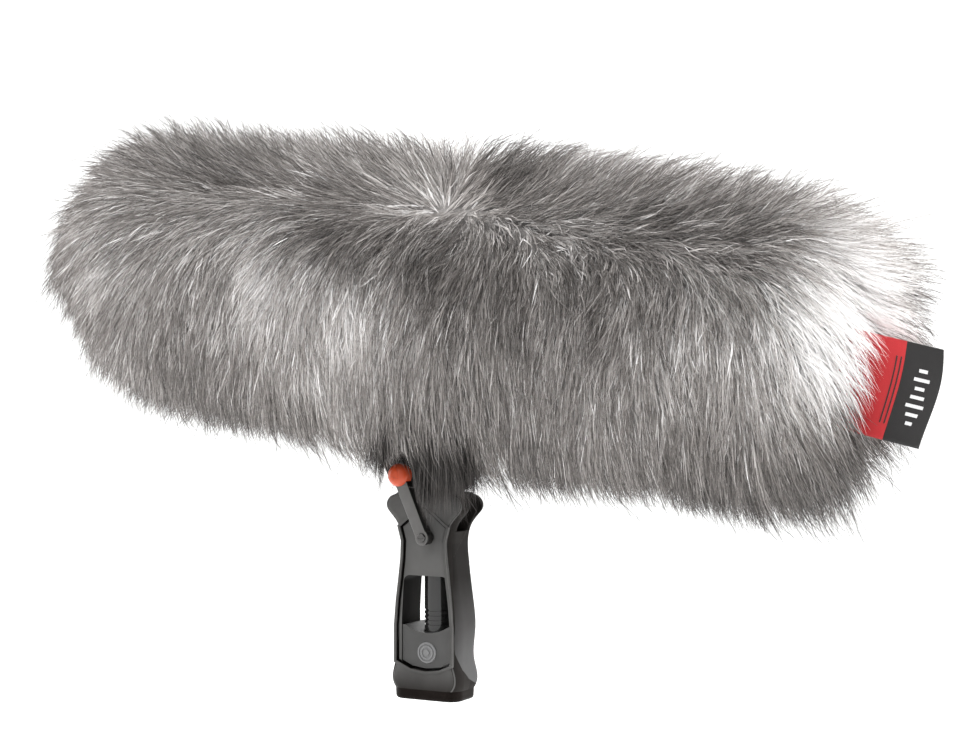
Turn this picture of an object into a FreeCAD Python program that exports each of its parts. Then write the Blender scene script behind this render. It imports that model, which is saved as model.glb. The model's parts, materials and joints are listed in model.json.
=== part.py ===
import FreeCAD
import Part
import math
import os

# Long-haired windshield for a shotgun microphone, on a pistol grip.
# Millimetres, +Z up.  Origin: mouth of the boom thread under the grip.
# +X is the rear of the windshield, -Y is the face that carries the clamp lever.
# Windshield parts are drawn level, then turned by REST_TILT about the tilt pivot.

V = FreeCAD.Vector
NODES = {}

# ---- driving dimensions -------------------------------------------------------
REST_TILT = 7.5
PIVOT = (2.0, 108.0)
AXIS_Z = 230.0
MID_X = -20.0

# grip: height, half width, near half depth, far half depth, corner radius
GRIP = [
    (6.0, 21.4, 13.5, 13.4, 8.0),
    (22.0, 21.4, 13.5, 13.8, 8.0),
    (40.0, 22.0, 13.5, 14.0, 8.0),
    (55.0, 20.9, 13.5, 13.2, 7.0),
    (68.0, 19.2, 13.5, 12.6, 6.5),
    (81.0, 17.7, 13.5, 12.6, 6.5),
    (93.0, 17.5, 13.5, 13.0, 6.5),
    (100.0, 19.6, 13.5, 13.5, 6.0),
    (105.0, 23.8, 13.5, 13.5, 6.0),
    (109.0, 26.5, 13.5, 13.5, 6.0),
    (112.5, 26.0, 13.5, 13.5, 6.0),
    (115.0, 23.6, 13.5, 13.5, 6.0),
    (117.0, 19.5, 13.5, 13.5, 6.0),
]
GRIP_TOP = 117.0
BASE_H = 6.0
PAD_T = 2.0
SLOT_HALF = 7.3
SLOT_FLOOR = 95.5
POCKET_HALF = 14.0
POCKET_FLOOR = 84.0
SMILE = [(-14.6, 20.5), (-8.0, 17.6), (1.0, 16.5), (10.0, 17.6), (16.6, 20.5)]
WINDOW = SMILE + [(16.6, 45.0), (15.2, 70.4), (-13.2, 70.4), (-14.6, 45.0)]
FLARE = [(-14.4, 8.0), (-16.2, 10.8), (-17.2, 12.4), (-17.8, 16.0), (-10.0, 16.0), (-10.0, 8.0)]
FLARE_Z = (38.0, 68.0)
PANEL = [(-17.4, 21.7)] + SMILE + [
    (17.4, 20.9), (17.4, 42.0), (16.2, 56.0), (14.6, 68.0), (13.2, 80.0), (12.8, 90.0), (15.0, 98.0),
    (0.0, 110.0), (-15.0, 98.0), (-12.8, 90.0), (-13.2, 80.0), (-14.6, 68.0), (-16.2, 56.0), (-17.4, 42.0),
]
RIM_W = 1.5
PANEL_SINK = 1.1
GROOVE_W = 1.1
GROOVE_SINK = 2.3
PAD_EDGE = [(-9.6, 89.0), (-11.5, 60.0), (-11.5, 36.0), (-10.6, 27.0), (-7.4, 18.0), (-1.6, 12.4), (6.7, 8.8)]
PAD_REAR = PAD_EDGE + [(16.5, 7.4), (16.5, 58.0), (6.0, 72.0), (6.0, 89.0)]
PAD_FRONT = PAD_EDGE + [(7.4, 30.0), (6.4, 60.0), (6.0, 89.0)]
THREAD_R = 3.97
THREAD_LEN = 14.0
SCREW_R = 1.25
SCREW_HEAD_R = 2.2
SCREW_HEAD_H = 1.8
SCREW_SOCKET = (1.0, 1.1)
SCREW_FRONT = -9.0
# handle screws: x, height, depth of the head's outer face
HANDLE_SCREWS = [(15.2, 9.4, 9.6), (-15.2, 9.4, 9.6), (13.7, 77.0, 12.3), (-13.7, 77.0, 12.3)]
CRADLE_Z = (18.0, 42.0)
CRADLE_GAP = 1.5
TONGUE_X = (-16.8, 18.6)
BADGE_R = 6.0
BADGE_Y = (-12.2, -10.8)
BADGE_Z = 27.0
BADGE_RINGS = [(4.9, 4.1), (3.0, 1.6)]
BADGE_SINK = 0.5
PLUG_X = 2.4
PLUG_R = 8.0
PLUG_Z = (37.0, 74.0)
PLUG_MOUTH_R = 6.8
BOOT_GAP = 0.3
BOLT = (2.9, 92.6)
BOLT_R = 1.9
LEVER_Y = (-20.5, -14.4)
LEVER_LEN = 38.0
LEVER_LEAN = 24.0
LEVER_HALF = (3.7, 4.0)
LEVER_BOSS_R = 4.4
LEVER_SCREW_R = 2.5
KNOB_R = 6.6
KNOB_Y = (-23.6, -15.0)
AXLE_R = 3.0
AXLE_HALF = 9.0

# yoke outline, measured from the tilt pivot
YOKE = [
    (-8.4, -8.56), (-26.0, 8.7), (-32.3, 17.9), (-37.8, 25.3), (-40.4, 31.0), (-55.0, 46.0),
    (-75.0, 58.0), (35.0, 58.0), (24.0, 44.0), (18.0, 28.0), (12.6, 11.7), (11.9, -1.5),
]
YOKE_EYE_R = 12.0
YOKE_THIN = 6.0
YOKE_THICK = 9.0
YOKE_THIN_REACH = 30.5
SADDLE_X = (-75.0, 37.0)
SADDLE_HALF = 13.0

TUBE_R = 54.0
WALL = 1.6
GAUZE_T = 0.4
TUBE_HALF = 150.0
CAP_HALF = 235.0
CAP_NOSE = 60.0
LOCK_RING_R = 55.2
LOCK_RING_W = 12.0
WINDOWS_ROUND = 8
WINDOWS_ALONG = 4
LUGS = 3
LUG_ANGLE = 6.0
TWIST = 20.0

RAIL_X = (-75.0, 10.0)
RAIL_HALF = 14.0
BAR_X = (-105.0, 62.0)
LYRE_X = (-85.0, 45.0)
LYRE_T = 9.0
CLIP_R = 10.5
LOCK_X = -30.0

LEAD_R = 2.25
LEAD_BORE_R = 3.0
LEAD_PATH = [
    (2.4, 82.0), (2.4, 85.0), (-11.0, 104.0), (-11.0, 121.0),
    (25.0, 180.5), (68.0, 180.5), (84.0, 187.5), (90.0, 187.5),
]
LEAD_BENDS = [2.5, 6.0, 9.0, 9.0, 9.0, 9.0]
TAIL_PLUG_X = (90.0, 119.0)
TAIL_PLUG_Z = 187.5

BACKING_R = (55.8, 57.0)
FUR_R = 92.0
FUR_HALF = 272.0
FUR_NOSE = 90.0
FUR_DROP = 8.0
OPENING_X = (-85.0, 45.0)
OPENING_HALF = 24.0
HEM_W = 3.5
SWING_R = 46.0
SWING_HALF = 40.0
ZIP_X = (54.0, 150.0)
ZIP_HALF = 8.0
ZIP_CHANNEL = 10.0
SLIDER_X = (56.0, 68.0)
LABEL = [(206.0, 11.0), (282.5, 3.8), (275.6, -45.7), (190.0, -33.0)]
LABEL_Y = (-20.8, -19.2)


# ---- shape helpers ------------------------------------------------------------
def box(x, y, z):
    return Part.makeBox(x[1] - x[0], y[1] - y[0], z[1] - z[0], V(x[0], y[0], z[0]))


def rod_x(r, x, y, z):
    return Part.makeCylinder(r, x[1] - x[0], V(x[0], y, z), V(1, 0, 0))


def rod_y(r, x, y, z):
    return Part.makeCylinder(r, y[1] - y[0], V(x, y[0], z), V(0, 1, 0))


def rod_z(r, x, y, z):
    return Part.makeCylinder(r, z[1] - z[0], V(x, y, z[0]), V(0, 0, 1))


def prism(points, span, place, along):
    face = Part.Face(Part.makePolygon([place(a, b, span[0]) for a, b in points + points[:1]]))
    return face.extrude(along * (span[1] - span[0]))


def plate_xz(points, y):
    return prism(points, y, lambda a, b, c: V(a, c, b), V(0, 1, 0))


def plate_yz(points, x):
    return prism(points, x, lambda a, b, c: V(c, a, b), V(1, 0, 0))


def union(shapes):
    return shapes[0].multiFuse(shapes[1:]).removeSplitter()


def fillet(shape, radius, wanted):
    return shape.makeFillet(radius, [edge for edge in shape.Edges if wanted(edge)])


def is_along(edge, axis):
    ends = [vertex.Point for vertex in edge.Vertexes]
    if len(ends) < 2 or (ends[1] - ends[0]).Length < 1e-6:
        return False
    return abs((ends[1] - ends[0]).normalize().dot(axis)) > 0.999


def grown(points, amount):
    outline = Part.makePolygon([V(a, b, 0) for a, b in points + points[:1]])
    ring = outline.makeOffset2D(amount, 2)
    return [(vertex.Point.x, vertex.Point.y) for vertex in ring.OrderedVertexes]


def section(z, half, near, far, r):
    """Rounded rectangle seen from above, as a closed wire."""
    side = half - r
    centres = [(side, far - r, 0), (-side, far - r, 90), (-side, r - near, 180), (side, r - near, 270)]
    edges = []
    last = None
    first = None
    for cx, cy, start in centres:
        turns = [math.radians(start + t) for t in (0, 45, 90)]
        arc = [V(cx + r * math.cos(turn), cy + r * math.sin(turn), z) for turn in turns]
        if last is not None:
            edges.append(Part.LineSegment(last, arc[0]).toShape())
        else:
            first = arc[0]
        edges.append(Part.Arc(*arc).toShape())
        last = arc[2]
    edges.append(Part.LineSegment(last, first).toShape())
    return Part.Wire(edges)


def grip_solid(inset):
    rows = []
    for z, half, near, far, r in GRIP:
        rows.append(section(z, half - inset, near - inset, far - inset, r - inset))
    return Part.makeLoft(rows, True, False)


def capsule(radius, half, nose, drop):
    """Round-ended body of revolution on the basket's axis, or `drop` below it."""
    z = AXIS_Z - drop
    flat = half - nose
    steps = [math.radians(90.0 * i / 10) for i in range(11)]
    right = [V(MID_X + flat + nose * math.sin(t), 0, z + radius * math.cos(t)) for t in steps]
    left = [V(MID_X - flat - nose * math.sin(t), 0, z + radius * math.cos(t)) for t in steps]
    curves = []
    for points in (right, left):
        curve = Part.BSplineCurve()
        curve.interpolate(points)
        curves.append(curve.toShape())
    top = Part.LineSegment(left[0], right[0]).toShape()
    axis = Part.LineSegment(right[-1], left[-1]).toShape()
    face = Part.Face(Part.Wire(Part.__sortEdges__([curves[0], top, curves[1], axis])))
    return face.revolve(V(0, 0, z), V(1, 0, 0), 360)


def ring_part(outer, inner, x, start, sweep):
    """Piece of a ring round the basket's axis, from `start` over `sweep` degrees."""
    big = Part.makeCylinder(outer, x[1] - x[0], V(x[0], 0, AXIS_Z), V(1, 0, 0), sweep)
    small = Part.makeCylinder(inner, x[1] - x[0] + 2, V(x[0] - 1, 0, AXIS_Z), V(1, 0, 0), 360)
    piece = big.cut(small)
    piece.rotate(V(0, 0, AXIS_Z), V(1, 0, 0), start)
    return piece


def tube(outer, inner, x, z):
    return rod_x(outer, x, 0, z).cut(rod_x(inner, (x[0] - 1, x[1] + 1), 0, z))


def bent_path(points, bends):
    """Line through the points in the XZ plane with every corner rounded."""
    spots = [V(x, 0, z) for x, z in points]
    edges = []
    last = spots[0]
    for i, bend in enumerate(bends):
        corner = spots[i + 1]
        back = (spots[i] - corner).normalize()
        on = (spots[i + 2] - corner).normalize()
        half_angle = back.getAngle(on) / 2
        reach = bend / math.tan(half_angle)
        enter = corner + back * reach
        leave = corner + on * reach
        middle = corner + (back + on).normalize() * (bend / math.sin(half_angle) - bend)
        edges.append(Part.LineSegment(last, enter).toShape())
        edges.append(Part.Arc(enter, middle, leave).toShape())
        last = leave
    edges.append(Part.LineSegment(last, spots[-1]).toShape())
    return Part.Wire(edges)


def pipe(points, bends, radius):
    path = bent_path(points, bends)
    start = V(points[0][0], 0, points[0][1])
    heading = V(points[1][0], 0, points[1][1]) - start
    ring = Part.Wire(Part.makeCircle(radius, start, heading))
    return path.makePipeShell([ring], True, False)


def keep(name, shape):
    NODES[name] = shape


def keep_tilted(name, shape):
    turned = shape.copy()
    turned.rotate(V(PIVOT[0], 0, PIVOT[1]), V(0, 1, 0), REST_TILT)
    NODES[name] = turned


# ---- grip ---------------------------------------------------------------------
def side_pads(body):
    skin = body.cut(grip_solid(PAD_T))
    clear = plate_xz(grown(WINDOW, 0.8), (-30.0, 30.0))
    sides = [("side_grip_rear", PAD_REAR, (13.0, 30.0)), ("side_grip_front", PAD_FRONT, (-30.0, -13.0))]
    for name, outline, x in sides:
        keep(name, skin.common(plate_yz(outline, x)).cut(clear))


def grip_screws():
    screws = []
    bores = []
    socket_r, socket_depth = SCREW_SOCKET
    for x, z, top in HANDLE_SCREWS:
        seat = top - SCREW_HEAD_H
        shank = rod_y(SCREW_R, x, (SCREW_FRONT, seat), z)
        head = rod_y(SCREW_HEAD_R, x, (seat, top), z).cut(rod_y(socket_r, x, (top - socket_depth, top), z))
        screws.append(shank.fuse(head))
        bores += [shank, rod_y(SCREW_HEAD_R, x, (seat, 20.0), z)]
    keep("handle_screws", Part.Compound(screws))
    return bores


def window_prism():
    hole = plate_xz(WINDOW, (-20.0, 20.0))
    hole = fillet(hole, 4.0, lambda e: is_along(e, V(0, 1, 0)) and e.CenterOfMass.z > 60)
    return hole.fuse(prism(FLARE, FLARE_Z, V, V(0, 0, 1)))


def grip_shells():
    body = grip_solid(0.0)
    side_pads(body)
    face = -GRIP[0][2]
    rim = plate_xz(grown(PANEL, RIM_W), (face - 0.7, face + 2.6))
    rim = rim.cut(plate_xz(PANEL, (face - 1.0, face + 3.0)))
    panel = plate_xz(PANEL, (face - 1.0, face + PANEL_SINK))
    island = plate_xz(grown(PANEL, -GROOVE_W), (face - 1.0, face + 5.0))
    groove = plate_xz(PANEL, (face, face + GROOVE_SINK)).cut(island)
    cuts = [
        window_prism(),
        panel,
        groove,
        rod_z(PLUG_R + 0.5, PLUG_X, 0, (60.0, POCKET_FLOOR + 1)),
        box((-POCKET_HALF, POCKET_HALF), (-SLOT_HALF, SLOT_HALF), (POCKET_FLOOR, SLOT_FLOOR + 1)),
        box((-40.0, 40.0), (-SLOT_HALF, SLOT_HALF), (SLOT_FLOOR, GRIP_TOP + 1)),
        rod_y(AXLE_R, PIVOT[0], (-AXLE_HALF, AXLE_HALF), PIVOT[1]),
        rod_y(BOLT_R, BOLT[0], (-20.0, 20.0), BOLT[1]),
        rod_y(4.6, BOLT[0], (9.4, 20.0), BOLT[1]),
        rod_z(7.0, 0, 0, (0.0, 15.0)),
        box(TONGUE_X, (-4.0, 4.0), (24.0, 35.0)),
        NODES["side_grip_rear"],
        NODES["side_grip_front"],
    ]
    cuts += grip_screws()
    cuts += [rod_z(1.5, x, 0, (0.0, 13.0)) for x in (-11.5, 11.5)]
    whole = body.cut(cuts)
    rim = rim.cut([NODES["side_grip_rear"], NODES["side_grip_front"]])
    near = whole.common(box((-40, 40), (-30, 0), (0, 130))).fuse(rim).removeSplitter()
    keep("handle_near", near)
    keep("handle_far", whole.common(box((-40, 40), (0, 30), (0, 130))))


def grip_base():
    z, half, near, far, r = GRIP[0]
    rings = [(0.0, 1.3), (0.5, 0.6), (1.5, 0.2), (z, 0.0)]
    sections = [section(h, half - inset, near - inset, far - inset, r - inset) for h, inset in rings]
    cap = Part.makeLoft(sections, True, True)
    screws = []
    for x in (-11.5, 11.5):
        head = rod_z(2.6, x, 0, (1.0, 3.0)).cut(rod_z(1.2, x, 0, (1.0, 2.0)))
        screws.append(head.fuse(rod_z(1.5, x, 0, (3.0, 13.0))))
        cap = cap.cut([rod_z(1.5, x, 0, (0.0, 6.0)), rod_z(2.6, x, 0, (0.0, 3.0))])
    keep("base_cap", cap.cut(rod_z(7.0, 0, 0, (0.0, 6.0))))
    keep("base_screws", Part.Compound(screws))
    keep("thread_insert", rod_z(7.0, 0, 0, (0.0, 15.0)).cut(rod_z(THREAD_R, 0, 0, (0.0, THREAD_LEN))))


def connector_cradle():
    low, high = CRADLE_Z
    edge = [(x, z + CRADLE_GAP) for x, z in SMILE]
    block = plate_xz(edge + [(16.6, high), (-14.6, high)], (-11.6, 11.6))
    block = block.cut(rod_y(26.0, 1.0, (-20.0, 20.0), high + 22.0))
    block = block.cut(rod_z(PLUG_R + 0.3, PLUG_X, 0, (PLUG_Z[0], high + 1)))
    spigot = rod_z(PLUG_MOUTH_R - 0.5, PLUG_X, 0, (PLUG_Z[0] - 1, PLUG_Z[0] + 4))
    tongues = box(TONGUE_X, (-4.0, 4.0), (24.0, 35.0))
    badge = rod_y(BADGE_R, PLUG_X - 1.0, BADGE_Y, BADGE_Z)
    keep("connector_cradle", union([block, spigot, tongues]).cut(badge))
    badge = fillet(badge, 0.4, lambda e: e.CenterOfMass.y < BADGE_Y[0] + 0.1)
    for outer, inner in BADGE_RINGS:
        ring_y = (BADGE_Y[0] - 1.0, BADGE_Y[0] + BADGE_SINK)
        badge = badge.cut(rod_y(outer, PLUG_X - 1.0, ring_y, BADGE_Z).cut(rod_y(inner, PLUG_X - 1.0, ring_y, BADGE_Z)))
    keep("cradle_badge", badge)


def plug():
    low, high = PLUG_Z
    shell = rod_z(PLUG_R, PLUG_X, 0, (low, high))
    shell = fillet(shell, 0.8, lambda e: e.CenterOfMass.z > high - 0.1)
    shell = shell.cut(rod_z(PLUG_MOUTH_R, PLUG_X, 0, (low, 64.0)))
    shell = shell.cut(rod_z(4.5, PLUG_X, 0, (63.0, high)))
    for z in (42.0, 44.6, 47.2, 49.8):
        groove = rod_z(PLUG_R + 1, PLUG_X, 0, (z, z + 1.1)).cut(rod_z(PLUG_R - 0.6, PLUG_X, 0, (z, z + 1.1)))
        shell = shell.cut(groove)
    pins = []
    insert = rod_z(PLUG_MOUTH_R, PLUG_X, 0, (58.0, 64.0))
    for angle in (30, 150, 270):
        x = PLUG_X + 4.0 * math.cos(math.radians(angle))
        y = 4.0 * math.sin(math.radians(angle))
        pins.append(rod_z(1.2, x, y, (45.0, 61.0)))
    keep("plug_pins", Part.Compound(pins))
    keep("plug_insert", insert.cut(pins))
    keep("plug_shell", shell)
    boot = Part.makeCone(6.6, 4.0, LEAD_PATH[0][1] - BOOT_GAP - high, V(PLUG_X, 0, high))
    keep("plug_boot", boot)


def pivot_and_clamp():
    keep("pivot_axle", rod_y(AXLE_R, PIVOT[0], (-AXLE_HALF, AXLE_HALF), PIVOT[1]))
    for name, y in (("washer_near", (-SLOT_HALF, -YOKE_THIN - 0.1)), ("washer_far", (YOKE_THIN + 0.1, SLOT_HALF))):
        washer = rod_y(10.0, PIVOT[0], y, PIVOT[1])
        keep(name, washer.cut(rod_y(AXLE_R, PIVOT[0], (-20.0, 20.0), PIVOT[1])))
    bolt = rod_y(BOLT_R, BOLT[0], (LEVER_Y[0] + 0.6, 12.8), BOLT[1])
    keep("clamp_bolt", bolt.cut(rod_y(0.9, BOLT[0], (LEVER_Y[0], -12.0), BOLT[1])))
    nut = rod_y(4.4, BOLT[0], (9.5, 12.5), BOLT[1])
    keep("clamp_nut", nut.cut(rod_y(BOLT_R, BOLT[0], (-20.0, 20.0), BOLT[1])))
    head = rod_y(LEVER_SCREW_R, BOLT[0], (LEVER_Y[0] - 1.3, LEVER_Y[0] + 0.5), BOLT[1])
    head = fillet(head, 0.5, lambda e: e.CenterOfMass.y < LEVER_Y[0] - 1.2)
    head = head.cut(box((-3.0, 9.0), (-22.0, LEVER_Y[0] - 0.7), (BOLT[1] - 0.4, BOLT[1] + 0.4)))
    keep("lever_screw", head.fuse(rod_y(0.9, BOLT[0], (LEVER_Y[0], -12.5), BOLT[1])))


def clamp_lever():
    x, z = BOLT
    low, high = LEVER_HALF
    arm = plate_xz([(x - low, z), (x + low, z), (x + high, z + LEVER_LEN), (x - high, z + LEVER_LEN)], LEVER_Y)
    arm = arm.fuse(rod_y(LEVER_BOSS_R, x, LEVER_Y, z)).removeSplitter()
    arm = fillet(arm, 0.8, lambda e: abs(e.CenterOfMass.y - LEVER_Y[0]) < 0.1)
    arm = arm.cut(rod_y(BOLT_R + 0.05, x, (-30.0, 0.0), z))
    arm = arm.cut(rod_y(LEVER_SCREW_R + 0.1, x, (-30.0, LEVER_Y[0] + 0.55), z))
    knob = rod_y(KNOB_R, x, KNOB_Y, z + LEVER_LEN)
    knob = fillet(knob, 4.6, lambda e: abs(e.CenterOfMass.y - KNOB_Y[0]) < 0.1)
    knob = fillet(knob, 1.2, lambda e: abs(e.CenterOfMass.y - KNOB_Y[1]) < 0.1)
    for name, shape in (("lever_arm", arm.cut(knob)), ("lever_knob", knob)):
        shape.rotate(V(x, 0, z), V(0, 1, 0), -LEVER_LEAN)
        keep(name, shape)


# ---- yoke and saddle ----------------------------------------------------------
def yoke():
    px, pz = PIVOT
    web = plate_xz([(px + a, pz + b) for a, b in YOKE], (-YOKE_THICK, YOKE_THICK))
    shaved = rod_y(YOKE_THIN_REACH, px, (-20.0, 20.0), pz).cut(
        box((-60.0, 60.0), (-YOKE_THIN, YOKE_THIN), (pz - 40, pz + 40)))
    eye = rod_y(YOKE_EYE_R, px, (-YOKE_THIN, YOKE_THIN), pz)
    body = web.cut(shaved).fuse(eye).removeSplitter()
    lead = pipe(LEAD_PATH, LEAD_BENDS, LEAD_BORE_R)
    body = body.cut([rod_y(AXLE_R + 0.05, px, (-20.0, 20.0), pz), lead])
    low = pz + YOKE[6][1]
    saddle = box(SADDLE_X, (-SADDLE_HALF, SADDLE_HALF), (low, AXIS_Z - 50.0))
    saddle = saddle.cut([rod_x(TUBE_R + GAUZE_T, (-120.0, 80.0), 0, AXIS_Z), lead])
    screws = []
    for x in (-58.0, -30.0, -4.0):
        screws.append(rod_z(1.6, x, 0, (152.0, low + 5.0)).fuse(rod_z(3.2, x, 0, (low + 5.0, low + 8.0))))
        saddle = saddle.cut([rod_z(1.6, x, 0, (low, low + 5.0)), rod_z(3.2, x, 0, (low + 5.0, low + 12.0))])
        body = body.cut(rod_z(1.6, x, 0, (152.0, low)))
    saddle, rail_bores = rail_screws(saddle, low)
    keep_tilted("yoke", body)
    keep_tilted("saddle", saddle)
    keep_tilted("yoke_screws", Part.Compound(screws))
    return lead, rail_bores


def rail_screws(saddle, low):
    screws = []
    bores = []
    for x in (-66.0, 4.0):
        for y in (-11.0, 11.0):
            bore = rod_z(SCREW_R, x, y, (low + 2.0, AXIS_Z - 45.5))
            head = rod_z(1.9, x, y, (low, low + 2.0))
            screws.append(bore.fuse(head))
            saddle = saddle.cut([bore, head])
            bores.append(bore)
    keep_tilted("rail_screws", Part.Compound(screws))
    return saddle, bores


# ---- basket -------------------------------------------------------------------
def lugs(x):
    return [ring_part(TUBE_R - 0.5, TUBE_R - WALL - 0.6, x, i * 360.0 / LUGS, LUG_ANGLE) for i in range(LUGS)]


def lug_slots(x):
    slot = (x[0] - 0.3, x[1] + 0.3)
    sweep = LUG_ANGLE + TWIST + 1.0
    return [ring_part(TUBE_R + 0.01, TUBE_R - 4.0, slot, i * 360.0 / LUGS - 0.5, sweep) for i in range(LUGS)]


def basket_tube(lead, bores):
    span = (MID_X - TUBE_HALF, MID_X + TUBE_HALF)
    body = tube(TUBE_R, TUBE_R - WALL, span, AXIS_Z)
    pitch = (2 * TUBE_HALF - 2 * LOCK_RING_W - 10) / WINDOWS_ALONG
    for row in range(WINDOWS_ALONG):
        start = span[0] + LOCK_RING_W + 5 + row * pitch + 4
        cutters = []
        for i in range(WINDOWS_ROUND):
            angle = -90.0 + 360.0 / WINDOWS_ROUND * (i + 0.5) - 17.0
            under = abs(((angle + 17.0 + 90.0 + 180.0) % 360.0) - 180.0) < 30.0
            if not (under and row in (1, 2)):
                cutters.append(ring_part(TUBE_R + 5, TUBE_R - 5, (start, start + pitch - 8), angle + 90.0, 34.0))
        body = body.cut(cutters)
    front_lugs = (span[0] + 2.0, span[0] + 7.0)
    rear_lugs = (span[1] - 7.0, span[1] - 2.0)
    body = body.cut(lug_slots(front_lugs) + lug_slots(rear_lugs))
    body = body.cut([lead] + bores)
    keep_tilted("basket_tube", body)
    gauze = tube(TUBE_R + GAUZE_T, TUBE_R, (span[0] + LOCK_RING_W, span[1] - LOCK_RING_W), AXIS_Z)
    keep_tilted("tube_gauze", gauze.cut([lead] + bores))
    keep_tilted("front_lock_ring", tube(LOCK_RING_R, TUBE_R, (span[0], span[0] + LOCK_RING_W), AXIS_Z))
    keep_tilted("rear_lock_ring", tube(LOCK_RING_R, TUBE_R, (span[1] - LOCK_RING_W, span[1]), AXIS_Z))
    return front_lugs, rear_lugs


def cap(name, side, lug_x):
    edge = MID_X + side * (TUBE_HALF + 0.1)
    tip = MID_X + side * (CAP_HALF + 10)
    rim_end = MID_X + side * (TUBE_HALF + 25)
    zone = box((min(edge, tip), max(edge, tip)), (-70, 70), (AXIS_Z - 70, AXIS_Z + 70))
    shell = capsule(TUBE_R, CAP_HALF, CAP_NOSE, 0)
    shell = shell.cut(capsule(TUBE_R - WALL, CAP_HALF - WALL, CAP_NOSE - WALL, 0))
    shell = shell.common(zone)
    ribs = [box((min(edge, rim_end), max(edge, rim_end)), (-70, 70), (AXIS_Z - 70, AXIS_Z + 70)),
            rod_x(11.0, (min(edge, tip), max(edge, tip)), 0, AXIS_Z)]
    for i in range(4):
        rib = box((min(edge, tip), max(edge, tip)), (-2.0, 2.0), (AXIS_Z - 70, AXIS_Z + 70))
        rib.rotate(V(0, 0, AXIS_Z), V(1, 0, 0), 45.0 * i)
        ribs.append(rib)
    frame = shell.common(union(ribs))
    inner = MID_X + side * (TUBE_HALF - 9)
    outer = MID_X + side * (TUBE_HALF + 4)
    spigot = tube(TUBE_R - WALL - 0.1, TUBE_R - 2 * WALL - 0.6, (min(inner, outer), max(inner, outer)), AXIS_Z)
    bridge = tube(TUBE_R - WALL + 0.2, TUBE_R - WALL - 0.6, (min(edge, outer), max(edge, outer)), AXIS_Z)
    keep_tilted(name + "_frame", union([frame, spigot, bridge] + lugs(lug_x)))
    net = capsule(TUBE_R + GAUZE_T, CAP_HALF + GAUZE_T, CAP_NOSE + GAUZE_T, 0)
    net = net.cut(capsule(TUBE_R, CAP_HALF, CAP_NOSE, 0))
    keep_tilted(name + "_gauze", net.common(zone))


# ---- suspension ---------------------------------------------------------------
def under(z):
    return AXIS_Z - z


def inner_rail(bores):
    block = box(RAIL_X, (-RAIL_HALF, RAIL_HALF), (under(53.0), under(42.2)))
    block = block.common(rod_x(TUBE_R - WALL, RAIL_X, 0, AXIS_Z))
    wide = box((RAIL_X[0] - 1, RAIL_X[1] + 1), (-8.2, 8.2), (under(48.2), under(44.6)))
    neck = box((RAIL_X[0] - 1, RAIL_X[1] + 1), (-4.2, 4.2), (under(45.0), under(42.0)))
    keep_tilted("inner_rail", block.cut([wide, neck] + bores))


def suspension_bar():
    flange = box(BAR_X, (-8.0, 8.0), (under(39.3), under(37.0)))
    web = box(BAR_X, (-6.4, 6.4), (under(42.0), under(39.2)))
    neck = box((-60.0, -5.0), (-4.0, 4.0), (under(45.0), under(41.9)))
    foot = box((-60.0, -5.0), (-8.0, 8.0), (under(48.0), under(44.8)))
    body = union([flange, web, neck, foot]).cut(rod_z(2.45, LOCK_X, 0, (under(50.0), under(30.0))))
    keep_tilted("suspension_bar", body)
    shank = rod_z(2.4, LOCK_X, 0, (under(47.6), under(36.0)))
    knob = rod_z(6.0, LOCK_X, 0, (under(36.9), under(31.0)))
    knob = fillet(knob, 1.0, lambda e: e.CenterOfMass.z > under(31.5))
    grips = [rod_z(1.2, LOCK_X + 6.4 * math.cos(a), 6.4 * math.sin(a), (under(38.0), under(30.0)))
             for a in [math.radians(60 * i) for i in range(6)]]
    keep_tilted("bar_lock", union([shank, knob.cut(grips)]))


def lyre(name, x):
    span = (x - LYRE_T / 2, x + LYRE_T / 2)
    foot = box((x - 7, x + 7), (-11.0, 11.0), (under(41.8), under(31.0)))
    flange = box((x - 8, x + 8), (-8.05, 8.05), (under(39.35), under(36.95)))
    web = box((x - 8, x + 8), (-6.6, 6.6), (under(42.0), under(39.0)))
    outer = tube(32.5, 30.0, span, AXIS_Z)
    middle = tube(22.5, 20.0, span, AXIS_Z)
    clip = tube(CLIP_R + 2, CLIP_R, span, AXIS_Z)
    mouth = plate_yz([(0, AXIS_Z), (11, AXIS_Z + 16), (-11, AXIS_Z + 16)], (span[0] - 1, span[1] + 1))
    beside = (AXIS_Z - 2.5, AXIS_Z + 2.5)
    links = [
        box(span, (21.5, 31.0), beside),
        box(span, (-31.0, -21.5), beside),
        box(span, (-2.5, 2.5), (under(21.5), under(11.5))),
    ]
    body = union([foot, outer, middle, clip.cut(mouth)] + links)
    body = body.cut([flange, web, rod_y(1.5, x, (8.0, 12.0), under(38.0))])
    keep_tilted(name, body)
    screw = rod_y(1.5, x, (8.3, 11.0), under(38.0)).fuse(rod_y(2.6, x, (11.0, 13.0), under(38.0)))
    keep_tilted(name + "_screw", screw)


def microphone_lead():
    keep_tilted_lead = pipe(LEAD_PATH, LEAD_BENDS, LEAD_R)
    x = TAIL_PLUG_X
    body = rod_x(PLUG_R, x, 0, TAIL_PLUG_Z).cut(rod_x(LEAD_R, (x[0] - 1, x[0] + 6), 0, TAIL_PLUG_Z))
    mouth = rod_x(PLUG_MOUTH_R, (x[1] - 15, x[1] + 1), 0, TAIL_PLUG_Z)
    keep_tilted("tail_plug", fillet(body, 0.8, lambda e: abs(e.CenterOfMass.x - x[1]) < 0.1).cut(mouth))
    band = rod_x(11.2, (99.0, 107.0), 0, TAIL_PLUG_Z).cut(rod_x(PLUG_R, (95.0, 110.0), 0, TAIL_PLUG_Z))
    keep_tilted("tail_clip", band.common(rod_x(TUBE_R - WALL, (95.0, 110.0), 0, AXIS_Z)))
    return keep_tilted_lead


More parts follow.
